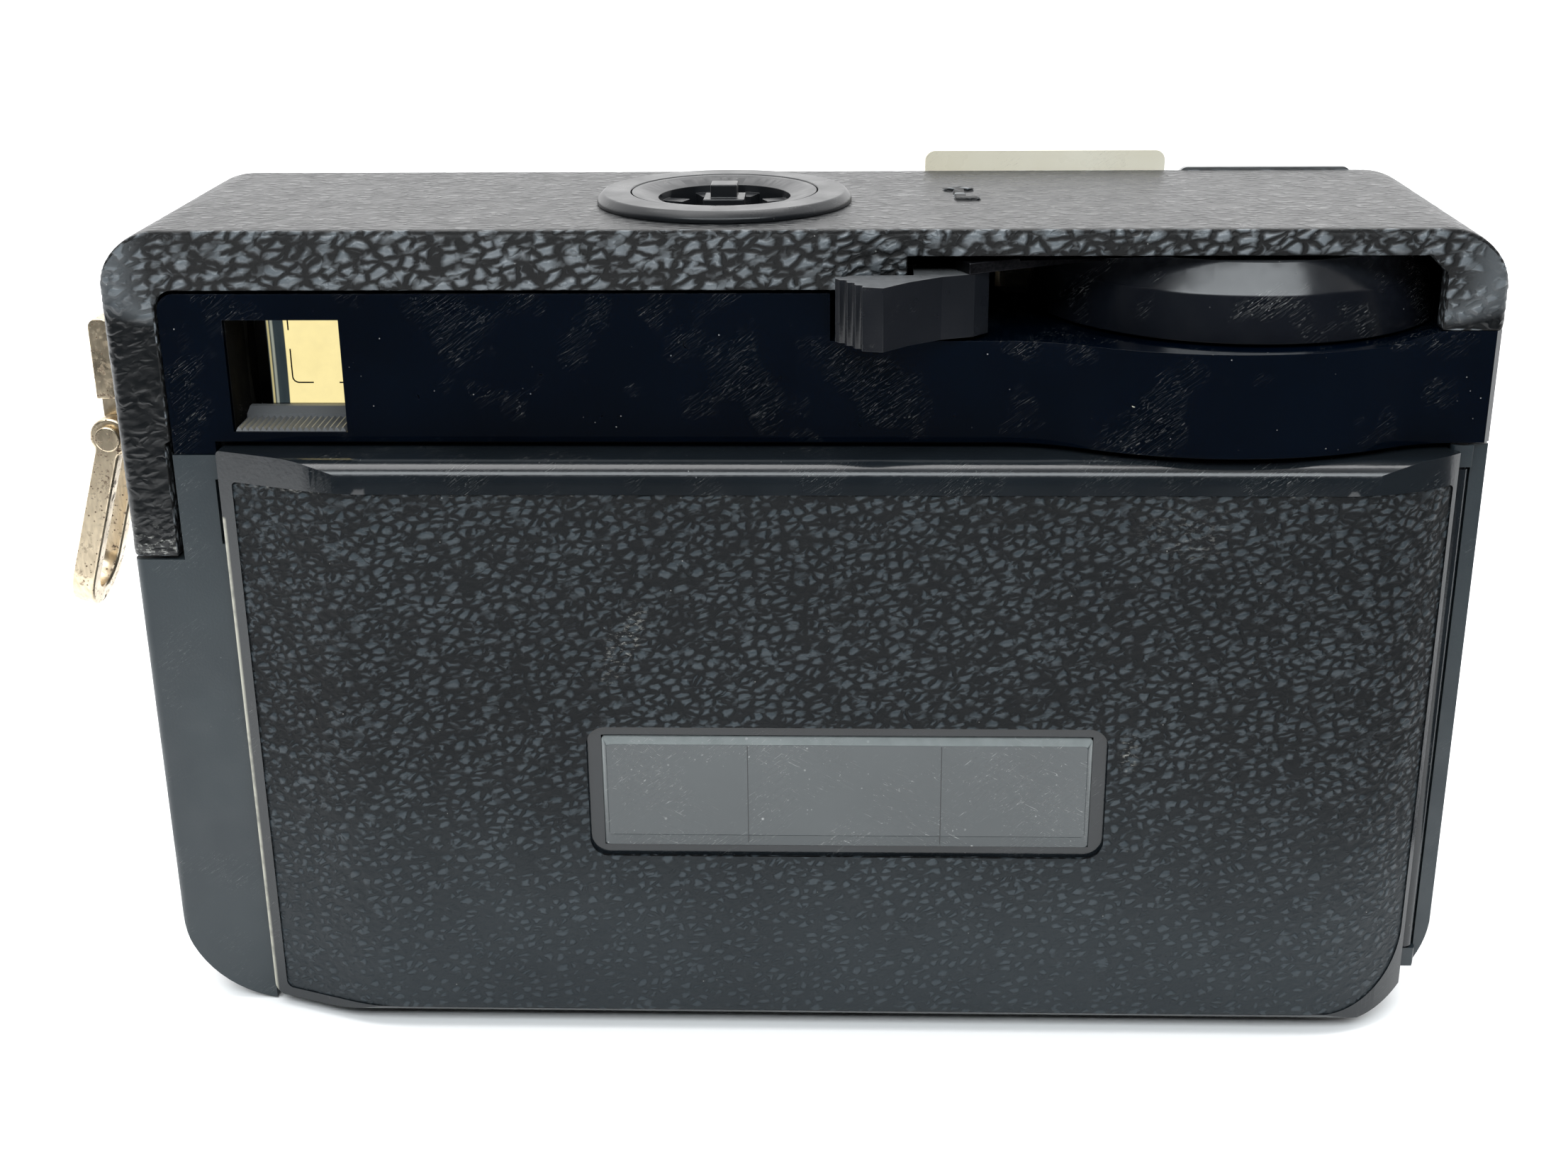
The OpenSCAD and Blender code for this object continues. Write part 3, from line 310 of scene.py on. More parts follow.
def glass(name, tint):
    """Clear pane: light goes straight through, and the faces shine."""
    g = Graph(name)
    see = g.add("ShaderNodeBsdfTransparent", {"Color": (*tint, 1)}).outputs[0]
    smear = g.span(g.noise(0.5, 4), 0.45, 0.8, 0.02, 0.16)
    shine = g.add("ShaderNodeBsdfPrincipled", {
        "Base Color": (0.01, 0.01, 0.01, 1), "Roughness": smear}).outputs[0]
    face = g.add("ShaderNodeFresnel", {"IOR": 1.5}).outputs[0]
    amount = g.math("ADD", face, g.span(g.noise(0.8, 3), 0.4, 0.9, 0.0, 0.05))
    mixed = g.add("ShaderNodeMixShader", {0: amount, 1: see, 2: shine}).outputs[0]
    g.tree.links.new(mixed, g.out.inputs[0])
    return g.mat


def grained(name, crown, crown_pale_patches, plain, rough, size, depth, spec):
    """Leather-grained surface: pebbles of a size in millimetres between creases of a depth, with painted
    shade in the creases, which are coloured near black; the surface takes the plain colour where the mesh
    says that it is even, and is rubbed where the mesh says so."""
    g = Graph(name)
    even, scuff = g.field("even"), g.field("scuff")
    space = g.scaled(g.turned((0, 16, 0)), (0.62 / size, 1 / size, 1 / size))
    drift = g.add("ShaderNodeTexNoise", {"Vector": space, "Scale": 0.8, "Detail": 2}).outputs["Color"]
    space = g.add("ShaderNodeVectorMath", {0: drift, 1: (0.8, 0.8, 0.8), 2: space},
                  operation="MULTIPLY_ADD").outputs[0]
    dome = g.span(g.cells(1.0, space=space, feature="SMOOTH_F1"), 0.75, 0.1, soft=True)
    crease = g.span(g.cells(1.0, space=space, feature="DISTANCE_TO_EDGE"), 0.05, 0.3, soft=True)
    joined = g.span(g.noise(0.9, 2, space=space), 0.52, 0.68)
    crease = g.math("MAXIMUM", crease, joined)
    height = g.math("MULTIPLY", crease, g.math("MULTIPLY_ADD", dome, 0.7, 0.3))
    # Crowns vary at random between two colours. The cover's crown colours are pale: painted highlights on its
    # pebbles.
    crown = g.mix(g.span(g.noise(0.06, 3), 0.35, 0.65), crown, crown_pale_patches)
    crown = g.mix(g.span(even, 0.5, 0.8), crown, plain)
    # Painted shade: the creases are coloured near black, as if in shadow, except where the mesh says the
    # surface is even.
    high = g.math("MAXIMUM", g.span(height, 0.1, 0.75), even)
    color = g.mix(high, (0.0004, 0.0006, 0.001), crown)
    dust = g.math("MULTIPLY", g.specks(0.9, 0.06, 0.55), 0.8)
    color = g.mix(dust, color, (0.25, 0.25, 0.24))
    rub = g.math("MULTIPLY", scuff, g.span(g.noise(1.2, 5, (1, 1, 2.4), rough=0.75), 0.54, 0.66))
    color = g.mix(rub, color, (0.3, 0.3, 0.28))
    r = g.span(high, 0.0, 1.0, 0.7, rough)
    r = g.math("ADD", r, g.math("MULTIPLY", rub, 0.3))
    r = g.math("ADD", r, g.span(g.noise(0.5, 3), 0.3, 0.7, -0.04, 0.05))
    left = g.math("SUBTRACT", 1.0, g.math("MULTIPLY", even, 0.95))
    relief = g.math("MULTIPLY", g.math("ADD", height, g.math("MULTIPLY", g.noise(7.0, 3), 0.12)), left)
    g.surface(color, r, normal=g.bump(relief, depth), spec=spec)
    return g.mat


MATERIALS = {}


def make_materials():
    m = MATERIALS
    m["moulding"] = plastic("moulding", (0.013, 0.020, 0.025), (0.018, 0.027, 0.032), 0.42,
                            relief=0.012, grain=5.0, dust=0.25)
    m["door_plastic"] = plastic("door_plastic", (0.006, 0.008, 0.010), (0.009, 0.012, 0.015), 0.16,
                                relief=0.006, grain=3.0, dust=0.35, worn_edge=(-47.0, -46.75, 46.3))
    m["gloss"] = plastic("gloss", (0.0002, 0.0012, 0.0035), (0.0004, 0.002, 0.0055), 0.07, relief=0.0012,
                         grain=0.8, dust=0.8, scratch=0.35)
    # The disc and the thumb tip get the pale layer on faces that look up: partly dust, partly painted sheen.
    m["disc"] = plastic("disc", (0.003, 0.004, 0.006), (0.005, 0.006, 0.009), 0.2, relief=0.003,
                        grain=1.5, dust=0.6, scratch=1.0, up_dust_and_sheen=0.35)
    m["satin"] = plastic("satin", (0.004, 0.005, 0.007), (0.008, 0.009, 0.012), 0.3, relief=0.010,
                         grain=5.0, dust=0.4, spec=0.35, up_dust_and_sheen=0.8)
    # The sill's pale grey is partly its own grey plastic and partly painted highlight, lightened so that its
    # ribs read as catching light.
    m["sill"] = plastic("sill", (0.10, 0.104, 0.108), (0.15, 0.155, 0.16), 0.35, relief=0.008,
                        grain=4.0, dust=0.5)
    m["socket"] = plastic("socket", (0.006, 0.007, 0.008), (0.010, 0.011, 0.013), 0.3, relief=0.006,
                          grain=4.0, dust=0.5, spec=0.32)
    m["matte"] = plastic("matte", (0.002, 0.002, 0.003), (0.004, 0.004, 0.005), 0.7, relief=0.02,
                         grain=4.0, dust=0.3, spec=0.12)
    m["lens_black"] = plastic("lens_black", (0.006, 0.006, 0.007), (0.011, 0.011, 0.012), 0.3,
                              relief=0.004, grain=6.0, dust=0.3)
    m["nylon"] = plastic("nylon", (0.62, 0.58, 0.48), (0.7, 0.66, 0.56), 0.45, relief=0.01, grain=3.0,
                         dust=0.3, tint=(0.3, 0.26, 0.2))
    m["cream"] = plastic("cream", (0.80, 0.73, 0.56), (0.90, 0.85, 0.71), 0.3, relief=0.008, grain=3.0,
                         dust=0.4, tint=(0.35, 0.3, 0.22), scratch=0.5)
    m["felt"] = plastic("felt", (0.001, 0.001, 0.001), (0.004, 0.004, 0.004), 0.95, relief=0.08, grain=7.0,
                        dust=0.2, spec=0.05)
    m["steel"] = metal("steel", (0.42, 0.43, 0.44), (0.56, 0.57, 0.58), 0.34, (1, 0.08, 1), 9.0)
    m["bright"] = metal("bright", (0.6, 0.6, 0.61), (0.75, 0.75, 0.76), 0.2, (1, 1, 1), 5.0)
    m["fascia"] = metal("fascia", (0.27, 0.275, 0.28), (0.36, 0.365, 0.37), 0.36, (0.05, 1, 1), 9.0, 0.006)
    m["blackened"] = metal("blackened", (0.02, 0.02, 0.024), (0.045, 0.045, 0.05), 0.4, (1, 1, 1), 5.0)
    m["spring"] = metal("spring", (0.45, 0.45, 0.46), (0.62, 0.62, 0.63), 0.28, (1, 1, 1), 5.0)
    m["brass"] = metal("brass", (0.6, 0.44, 0.17), (0.78, 0.6, 0.28), 0.25, (1, 1, 0.2), 5.0)
    m["nickel"] = metal("nickel", (0.52, 0.43, 0.31), (0.74, 0.63, 0.46), 0.3, (1, 1, 0.3), 3.0, 0.006,
                        stain=(0.085, 0.045, 0.022))
    m["amber_glass"] = glass("amber_glass", (1.0, 1.0, 0.97))
    m["clear_glass"] = glass("clear_glass", (0.93, 0.96, 0.98))
    # Cover crowns pale grey: painted highlights on the pebbles of a black covering; its plain colour on even
    # parts is the covering's own near black.
    m["cover"] = grained("cover", (0.085, 0.098, 0.108), (0.125, 0.140, 0.152), (0.002, 0.003, 0.004), 0.3,
                         0.95, 0.34, spec=0.5)
    m["leather"] = grained("leather", (0.026, 0.034, 0.040), (0.036, 0.046, 0.053), (0.030, 0.038, 0.045),
                           0.38, 0.68, 0.2, spec=0.25)
    m["pane"] = pane_material()
    m["finder_light"] = finder_material()


def pane_material():
    """Cartridge window: grey, half clear, with smears, dust and scratches."""
    g = Graph("pane")
    cloud = g.span(g.noise(0.07, 4), 0.3, 0.7)
    color = g.mix(cloud, (0.036, 0.043, 0.046), (0.047, 0.055, 0.058))
    # Painted highlight: a pale band along the top rim of the pane, where its edge catches light.
    rim = g.field("rim")
    color = g.mix(g.math("MULTIPLY", rim, g.span(g.noise(0.9, 3), 0.2, 0.8, 0.7, 1.0)), color,
                  (0.20, 0.22, 0.22))
    lines = g.math("ADD", g.hairs(0.45, (0, 40, 15), 0.008, 0.48), g.hairs(0.3, (0, -28, 60), 0.005, 0.46))
    marks = g.math("ADD", g.specks(0.7, 0.1, 0.5), g.specks(1.9, 0.16, 0.6))
    light = g.math("MULTIPLY", g.math("ADD", lines, marks), 0.55)
    color = g.mix(light, color, (0.42, 0.43, 0.42))
    r = g.span(g.noise(0.25, 4), 0.3, 0.8, 0.08, 0.24)
    g.surface(color, r, normal=g.bump(g.math("ADD", lines, g.noise(0.5, 2)), 0.01), coat=0.3)
    return g.mat


def finder_material():
    """The bright scene that the finder shows, warm from the coated lens, with dust on the glass. It is
    painted light: the plane glows, and its left strip is painted shade of the tube wall with a painted pale
    streak and amber edge highlight.
    """
    g = Graph("finder_light")
    parts = g.add("ShaderNodeSeparateXYZ", {0: g.mm}).outputs
    warm = g.mix(g.noise(0.12, 2), (1.06, 0.90, 0.45), (1.12, 0.96, 0.51))
    dust = g.math("ADD", g.specks(0.75, 0.07, 0.5), g.specks(0.35, 0.05, 0.45))
    warm = g.mix(dust, warm, (0.12, 0.08, 0.04))
    # Painted shade: the dim band is the finder tube's left wall in shade; the pale streak and amber edge are
    # painted highlights, and beyond them it is black.
    band = g.mix(g.noise(1.1, 4, (1, 1, 0.15)), (0.008, 0.014, 0.022), (0.06, 0.08, 0.09))
    streak = g.span(g.math("ABSOLUTE", g.math("SUBTRACT", parts["X"], -44.3)), 0.16, 0.05)
    band = g.mix(streak, band, (0.34, 0.36, 0.32))
    edge = g.span(g.math("ABSOLUTE", g.math("SUBTRACT", parts["X"], -44.6)), 0.12, 0.05)
    band = g.mix(edge, band, (0.55, 0.48, 0.25))
    band = g.mix(g.span(parts["X"], -44.72, -44.78), band, (0.0, 0.0, 0.0))
    color = g.mix(g.span(parts["X"], -43.32, -43.24), band, warm)
    # Painted light: the whole plane glows, though it is no lamp.
    g.surface((0.0, 0.0, 0.0), 0.5, glow=color)
    return g.mat


# ---------- relief ----------

def lattice(ix, iy, seed):
    """Repeatable random number from 0 to 1 for each whole-number place."""
    h = (ix.astype(np.int64) * 73856093) ^ (iy.astype(np.int64) * 19349663) ^ (seed * 83492791)
    h &= 0x7FFFFFFF
    h = ((h ^ (h >> 13)) * 1274126177) & 0x7FFFFFFF
    h = ((h ^ (h >> 15)) * 668265263) & 0x7FFFFFFF
    return ((h ^ (h >> 11)) & 0xFFFF) / 65535.0


def ease(t):
    t = np.clip(t, 0, 1)
    return t * t * (3 - 2 * t)


def waves(x, y, seed, octaves=3):
    """Soft noise from -1 to 1."""
    total, size, most = 0.0, 1.0, 0.0
    for k in range(octaves):
        ix, iy = np.floor(x), np.floor(y)
        fx, fy = ease(x - ix), ease(y - iy)
        a, b = lattice(ix, iy, seed + k), lattice(ix + 1, iy, seed + k)
        c, d = lattice(ix, iy + 1, seed + k), lattice(ix + 1, iy + 1, seed + k)
        total = total + size * (a + (b - a) * fx + (c - a) * fy + (a - b - c + d) * fx * fy - 0.5)
        most += size * 0.5
        x, y, size = x * 2.03 + 7.1, y * 2.03 + 3.7, size * 0.5
    return total / most


def pebbles(x, y, seed):
    """Distance to the nearest pebble centre and to the crack between pebbles."""
    ix, iy = np.floor(x), np.floor(y)
    near = np.full(x.shape, 9.0)
    second = np.full(x.shape, 9.0)
    for dx in (-1, 0, 1):
        for dy in (-1, 0, 1):
            cx, cy = ix + dx, iy + dy
            px = cx + 0.1 + 0.8 * lattice(cx, cy, seed)
            py = cy + 0.1 + 0.8 * lattice(cx, cy, seed + 101)
            r = np.hypot(px - x, py - y)
            second = np.minimum(second, np.maximum(near, r))
            near = np.minimum(near, r)
    return near, second - near


def pebble_relief(x, y, size, angle, stretch, seed):
    """Pebbled relief from 0 in the cracks to 1 on the crowns."""
    c, s = math.cos(math.radians(angle)), math.sin(math.radians(angle))
    a, b = (c * x + s * y) / (size * stretch), (-s * x + c * y) / size
    a = a + 0.35 * waves(a * 0.9, b * 0.9, seed + 7)
    b = b + 0.45 * waves(a * 0.8 + 5, b * 0.8, seed + 9)
    near, crack = pebbles(a, b, seed)
    crown = 1 - 0.75 * np.clip(near, 0, 1) ** 2
    joined = ease((waves(a * 0.8, b * 0.8, seed + 21) + 0.1) * 3)
    depth = 1 - (1 - ease(crack / 0.55)) * (1 - 0.45 * joined)
    return crown * depth


def creases(x, y, angle, spacing, seed):
    """Long shallow wrinkles, 1 on their line."""
    c, s = math.cos(math.radians(angle)), math.sin(math.radians(angle))
    a, b = c * x + s * y, -s * x + c * y
    n = waves(a / (spacing * 4.5), b / spacing + 0.5 * waves(a / 7, b / 7, seed + 3), seed, 2)
    return np.exp(-(n / 0.09) ** 2) * ease(waves(a / 11, b / 6, seed + 5) * 2 + 0.6)


def leather_relief(x, y, middle):
    """Covering: pebbles that lean down to the right on the left side, and up to the right elsewhere."""
    side = ease((x - middle) / 26 + 0.5)
    left = pebble_relief(x, y, 0.74, -24, 1.75, 11) - 0.4 * creases(x, y, -27, 2.4, 41)
    right = pebble_relief(x, y, 0.78, 24, 1.75, 17) - 0.4 * creases(x, y, 27, 2.6, 47)
    blend = (1 - side) * left + side * right
    broad = 0.10 * waves(x / 2.1, y / 2.1, 61, 2)
    return np.clip(blend + broad, 0, 1.2)


def cover_relief(x, y):
    big = pebble_relief(x, y, 0.76, 8, 1.6, 71)
    small = pebble_relief(x, y, 0.5, -20, 1.3, 83)
    lumps = 0.25 * waves(x / 2.3, y / 1.7, 91, 2)
    return np.clip(0.86 * big + 0.14 * small + lumps, 0, 1.3)


# ---------- mesh pieces ----------

def make_piece(name, points, faces, body, material, slot, replaced=(), smooth=True, fields=None):
    """Adds a mesh in millimetres and makes it ride on a body."""
    me = bpy.data.meshes.new(name)
    points = np.asarray(points, dtype=np.float64) * MM
    if isinstance(faces, np.ndarray):
        n, k = faces.shape
        me.vertices.add(len(points))
        me.vertices.foreach_set("co", points.ravel())
        me.loops.add(n * k)
        me.loops.foreach_set("vertex_index", faces.ravel().astype(np.int32))
        me.polygons.add(n)
        me.polygons.foreach_set("loop_start", np.arange(0, n * k, k, dtype=np.int32))
        me.update(calc_edges=True)
    else:
        me.from_pydata(points.tolist(), [], faces)
    me.polygons.foreach_set("use_smooth", [smooth] * len(me.polygons))
    for key, values in (fields or {}).items():
        layer = me.attributes.new(key, "FLOAT", "POINT")
        layer.data.foreach_set("value", np.asarray(values, dtype=np.float32))
    me.validate()
    me.materials.append(MATERIALS[material])
    obj = bpy.data.objects.new(name, me)
    bpy.context.scene.collection.objects.link(obj)
    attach(obj, body)
    if replaced:
        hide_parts(*replaced)
    return obj


def rect_gap(x, y, x0, x1, y0, y1, r=0.0):
    """Distance inwards from the edge of a rectangle with corner radius r, negative outside."""
    px = np.abs(x - (x0 + x1) / 2) - ((x1 - x0) / 2 - r)
    py = np.abs(y - (y0 + y1) / 2) - ((y1 - y0) / 2 - r)
    outer = np.hypot(np.maximum(px, 0), np.maximum(py, 0))
    return r - outer - np.minimum(np.maximum(px, py), 0)


def skin(name, u, v, inside, place, relief, body, material, slot, fade, lift=0.02, fields=None):
    """Grained sheet over a grid of (u, v). Its edge follows the line where inside is 0."""
    uu, vv = (a.astype(np.float64) for a in np.meshgrid(u, v, indexing="ij"))
    gap = inside(uu, vv)
    kept = (gap[:-1, :-1] > 0) | (gap[1:, :-1] > 0) | (gap[:-1, 1:] > 0) | (gap[1:, 1:] > 0)
    used = np.zeros(gap.shape, bool)
    for a in (slice(None, -1), slice(1, None)):
        for b in (slice(None, -1), slice(1, None)):
            used[a, b] |= kept
    for _ in range(3):
        out = used & (gap < 0)
        x, y, e = uu[out], vv[out], 0.01
        gx = (inside(x + e, y) - inside(x - e, y)) / (2 * e)
        gy = (inside(x, y + e) - inside(x, y - e)) / (2 * e)
        uu[out] -= gap[out] * gx
        vv[out] -= gap[out] * gy
        gap[out] = inside(uu[out], vv[out])
    number = np.full(gap.shape, -1)
    number[used] = np.arange(used.sum())
    quads = np.stack([number[:-1, :-1], number[1:, :-1], number[1:, 1:], number[:-1, 1:]], -1)[kept]
    x, y, gap = uu[used], vv[used], gap[used]
    height, depth = relief(x, y)
    amount = ease(gap / fade)
    points, normals = place(x, y)
    points = points + normals * (lift + height * depth * amount)[:, None]
    made = {"scuff": np.zeros(len(x)), "even": np.zeros(len(x))}
    for key, rule in (fields or {}).items():
        made[key] = rule(x, y)
    a, b, c = points[quads[0, 0]], points[quads[0, 1]], points[quads[0, 2]]
    if np.dot(np.cross(b - a, c - a), normals[quads[0, 0]]) < 0:
        quads = quads[:, ::-1]
    return make_piece(name, points, quads, body, material, slot, fields=made)


# ---------- grained skins ----------

HALF_W, HEIGHT, DEPTH = 55.2, 69.5, 14.0
TOP_R, SIDE_R, EDGE_R = 5.1, 0.8, 0.45


def plan_limit(y):
    """Half width of the body at y, with its rounded upright edges."""
    t = np.clip(np.abs(y) - (DEPTH - SIDE_R), 0, SIDE_R)
    return HALF_W - SIDE_R + np.sqrt(SIDE_R ** 2 - t ** 2)


def top_limit(x):
    """Height of the body at x, with its rounded upper corners."""
    t = np.clip(np.abs(x) - (HALF_W - TOP_R), 0, TOP_R)
    return HEIGHT - TOP_R + np.sqrt(TOP_R ** 2 - t ** 2)


def round_off(points, normals, gap):
    """Rounds the sheet down towards an edge that lies gap away."""
    t = np.clip(1 - gap / EDGE_R, 0, 1)
    drop = EDGE_R * (1 - np.sqrt(1 - t ** 2))
    return points - normals * drop[:, None]


def make_roof():
    """Top of the cover with both rounded upper corners, around the flash socket."""
    socket_lo, socket_hi = box_mm("socket_ring")
    centre, collar = (socket_lo + socket_hi) / 2, (socket_hi[0] - socket_lo[0]) / 2
    flat = HALF_W - TOP_R
    quarter = TOP_R * math.pi / 2
    arrow = np.array((13.4, 1.7))

    def inside(u, y):
        gap = np.minimum(rect_gap(u, y, -flat - quarter, flat + quarter, -DEPTH, DEPTH) - 0.29 * EDGE_R,
                         np.hypot(u - centre[0], y - centre[1]) - collar + 0.15)
        shaft = rect_gap(u, y, arrow[0] - 0.5, arrow[0] + 1.6, arrow[1] - 3.05, arrow[1] - 2.05)
        head = rect_gap(u, y, arrow[0] - 1.35, arrow[0] + 1.35, arrow[1] + 1.45, arrow[1] + 3.05)
        stem = rect_gap(u, y, arrow[0] - 0.5, arrow[0] + 0.5, arrow[1] - 3.05, arrow[1] + 1.8)
        return np.minimum(gap, -np.maximum(np.maximum(shaft, head), stem))

    def place(u, y):
        a = np.clip((np.abs(u) - flat) / TOP_R, 0, math.pi / 2)
        side = np.sign(u)
        x = np.where(np.abs(u) > flat, side * (flat + TOP_R * np.sin(a)), u)
        z = HEIGHT - TOP_R + TOP_R * np.cos(a)
        normal = np.stack([side * np.sin(a), np.zeros_like(u), np.cos(a)], -1)
        most = plan_limit(y)
        cut = np.abs(x) > most
        x = np.where(cut, side * most, x)
        t = np.sign(y) * np.clip(np.abs(y) - (DEPTH - SIDE_R), 0, SIDE_R) / SIDE_R
        wall = np.stack([side * np.sqrt(1 - t ** 2), t, np.zeros_like(u)], -1)
        normal = np.where(cut[:, None], wall, normal)
        points = np.stack([x, y, z], -1)
        edge = np.where(cut, 9.0, DEPTH - np.abs(y))
        return round_off(points, normal, edge), normal

    reach = flat + quarter
    skin("cover_roof_grain", np.linspace(-reach, reach, int(2 * reach / 0.22)),
         np.linspace(-DEPTH, DEPTH, 128), inside, place, lambda u, y: (cover_relief(u, y * 1.1), 0.03),
         "camera", "cover", "grained_black", 0.75, fields={"even": lambda u, y: 0.8 + 0 * u})


def make_walls():
    """Rear band, legs and side walls of the cover, as one sheet round the body."""
    _, panel_hi = box_mm("rear_panel")
    cover_lo, _ = box_mm("top_cover")
    flat_x, flat_y = HALF_W - SIDE_R, DEPTH - SIDE_R
    quarter = SIDE_R * math.pi / 2
    corner = flat_x + quarter
    back = corner + 2 * flat_y
    disc_top = 67.45

    def plan(s):
        """Point and normal of the body's outline at s millimetres from the middle of the rear."""
        t, side = np.abs(s), np.sign(s)
        a = np.clip((t - flat_x) / SIDE_R, 0, math.pi / 2)
        b = np.clip((t - back) / SIDE_R, 0, math.pi / 2)
        x = np.minimum(t, flat_x) + SIDE_R * np.sin(a) - SIDE_R * (1 - np.cos(b))
        y = -DEPTH + SIDE_R * (1 - np.cos(a)) + np.clip(t - corner, 0, 2 * flat_y) + SIDE_R * np.sin(b)
        nx = np.where(b > 0, np.cos(b), np.sin(a))
        ny = np.where(b > 0, np.sin(b), -np.cos(a))
        return side * x, y, side * nx, ny

    def inside(s, z):
        x, y, _, _ = plan(s)
        top = top_limit(x) - z
        low = np.where(x < -50.95, np.where(z < 52.35, -51.35 - x, 9), 9)
        band = np.minimum(-rect_gap(x, z, -51, 90, 0, panel_hi[2] + 0.3, 1.6), np.minimum(8.6 - x, low))
        over_disc = z - disc_top
        seam = z - np.where(y < -9.9, 61.6, 60.85)
        right_leg = np.minimum(x - 50.45, seam)
        chamfer = (50.4 - x) * 0.7071 + (disc_top - z) * 0.7071 - 1
        chamfer = np.minimum(-chamfer, seam)
        body = np.maximum.reduce([band, over_disc, right_leg, np.where(x > 46, chamfer, -9)])
        body = np.minimum(body, z - cover_lo[2])
        slot = np.where(x < 0, rect_gap(y, z, -4.4, 0.4, 50.6, 59.6), -9)
        rear = np.where(np.abs(s) < flat_x, 0.29 * EDGE_R, 0.0)
        return np.minimum.reduce([top - rear, body - 0.12, -slot, back + quarter - np.abs(s)])

    def place(s, z):
        x, y, nx, ny = plan(s)
        normal = np.stack([nx, ny, np.zeros_like(x)], -1)
        points = np.stack([x, y, z], -1)
        edge = np.where(np.abs(s) < flat_x, top_limit(x) - z, 9.0)
        return round_off(points, normal, edge), normal

    def coarse_grain_and_painted_light(s, z):
        """How coarse the grain is, and with it how much painted highlight on the crowns and painted shade in
        the creases shows: fully on the rear band, less on the sides, and not on the legs.
        """
        x, _, _, _ = plan(s)
        return ease((z - 61) / 4) * (0.4 + 0.6 * ease((54.6 - np.abs(x)) / 4))

    def relief(s, z):
        return cover_relief(s + 300, z), 0.04 + 0.06 * coarse_grain_and_painted_light(s, z)

    # Even parts take the plain dark colour, without the painted highlight and painted shade of the grain.
    def even(s, z):
        return 0.92 - 0.92 * coarse_grain_and_painted_light(s, z)

    def scuff(s, z):
        x, y, _, _ = plan(s)
        foot = ease((cover_lo[2] + 3.4 - z) / 2) * ease((-51 - x) / 0.5) * (y < -12)
        return foot * 0.9

    s = np.linspace(-back - quarter, back + quarter, int(2 * (back + quarter) / 0.19))
    skin("cover_wall_grain", s, np.linspace(cover_lo[2], HEIGHT, 146), inside, place, relief, "camera",
         "cover", "grained_black", 0.35, fields={"scuff": scuff, "even": even})


def door_section():
    """Rear surface of the door's covering from above: arc length to point and normal."""
    lo, hi = box_mm("rear_door")
    door_y, left_x, drop = lo[1], lo[0], 0.15
    slope = math.atan2(-DEPTH - 0.8 - door_y, -37 - left_x)
    bend_r, arc_r, arc_x = 16.0, 14.8, 43.0
    bend_x = -37 + (drop + bend_r) * math.tan(slope / 2)
    pieces = [np.array([[left_x, -DEPTH - 0.8 + drop / math.cos(slope)]])]
    a = np.radians(np.linspace(270 - math.degrees(slope), 270, 40))
    pieces.append(np.stack([bend_x + bend_r * np.cos(a), door_y + drop + bend_r + bend_r * np.sin(a)], -1))
    end = 2 * math.pi - math.acos((52.6 - arc_x) / (arc_r - drop))
    a = np.linspace(1.5 * math.pi, end, 60)
    r = arc_r - drop
    pieces.append(np.stack([arc_x + r * np.cos(a), door_y + arc_r + r * np.sin(a)], -1))
    line = np.concatenate(pieces)
    length = np.concatenate([[0], np.cumsum(np.hypot(*np.diff(line, axis=0).T))])
    return line, length


def make_door_leather():
    """Grained covering of the door round its window, in a left and a right half."""
    lo, hi = box_mm("door_covering")
    pane_lo, pane_hi = box_mm("door_window")
    line, length = door_section()

    def at(u):
        x, y = np.interp(u, length, line[:, 0]), np.interp(u, length, line[:, 1])
        dx = np.interp(u + 0.3, length, line[:, 0]) - np.interp(u - 0.3, length, line[:, 0])
        dy = np.interp(u + 0.3, length, line[:, 1]) - np.interp(u - 0.3, length, line[:, 1])
        n = np.hypot(dx, dy)
        return x, y, dy / n, -dx / n

    def inside(u, z):
        x = np.interp(u, length, line[:, 0])
        whole = rect_gap(x, z, lo[0], hi[0], lo[2], hi[2], 0.5)
        corner = 7 - np.hypot(np.maximum(x - hi[0] + 7, 0), np.maximum(lo[2] + 7 - z, 0))
        gap = np.minimum(whole, corner) - 0.05
        hole = rect_gap(x, z, pane_lo[0] - 1.25, pane_hi[0] + 1.25, pane_lo[2] - 0.95, pane_hi[2] + 0.95, 1.6)
        return np.minimum(gap, -hole)

    def place(u, z):
        x, y, nx, ny = at(u)
        return np.stack([x, y, z], -1), np.stack([nx, ny, np.zeros_like(x)], -1)

    def scuff(u, z):
        x = np.interp(u, length, line[:, 0])
        cut = np.hypot((x + 14.4 - 0.4 * (z - 36)) / 1.5, (z - 36.6) / 3.6)
        rub = np.hypot((x - 31) / 5, (z - 46) / 3.4)
        tear = np.hypot((x - 27.3) / 0.9, (z - 27) / 2.2)
        seam = ease(1 - (hi[2] - z) / 0.3) * ease(waves(x / 5, x * 0, 5, 2) * 3) * 0.8
        return np.clip(1.2 - cut, 0, 1) + 0.35 * np.clip(1 - rub, 0, 1) + np.clip(1.1 - tear, 0, 1) + seam

    middle = 0.5 * (length[0] + length[-1])
    # The even field rises towards the bottom of the door: the grain flattens and its painted crease shade
    # fades there, so the covering is lighter towards the bottom.
    for side, ends in (("left", (length[0], middle)), ("right", (middle, length[-1]))):
        skin("door_leather_" + side, np.linspace(*ends, 320), np.arange(lo[2] - 0.1, hi[2] + 0.2, 0.165),
             inside, place, lambda u, z: (leather_relief(u - 60, z, -12), 0.07), "door", "leather",
             "leatherette", 0.3,
             fields={"scuff": scuff, "even": lambda u, z: 0.1 + 0.45 * ease((30 - z) / 26)})


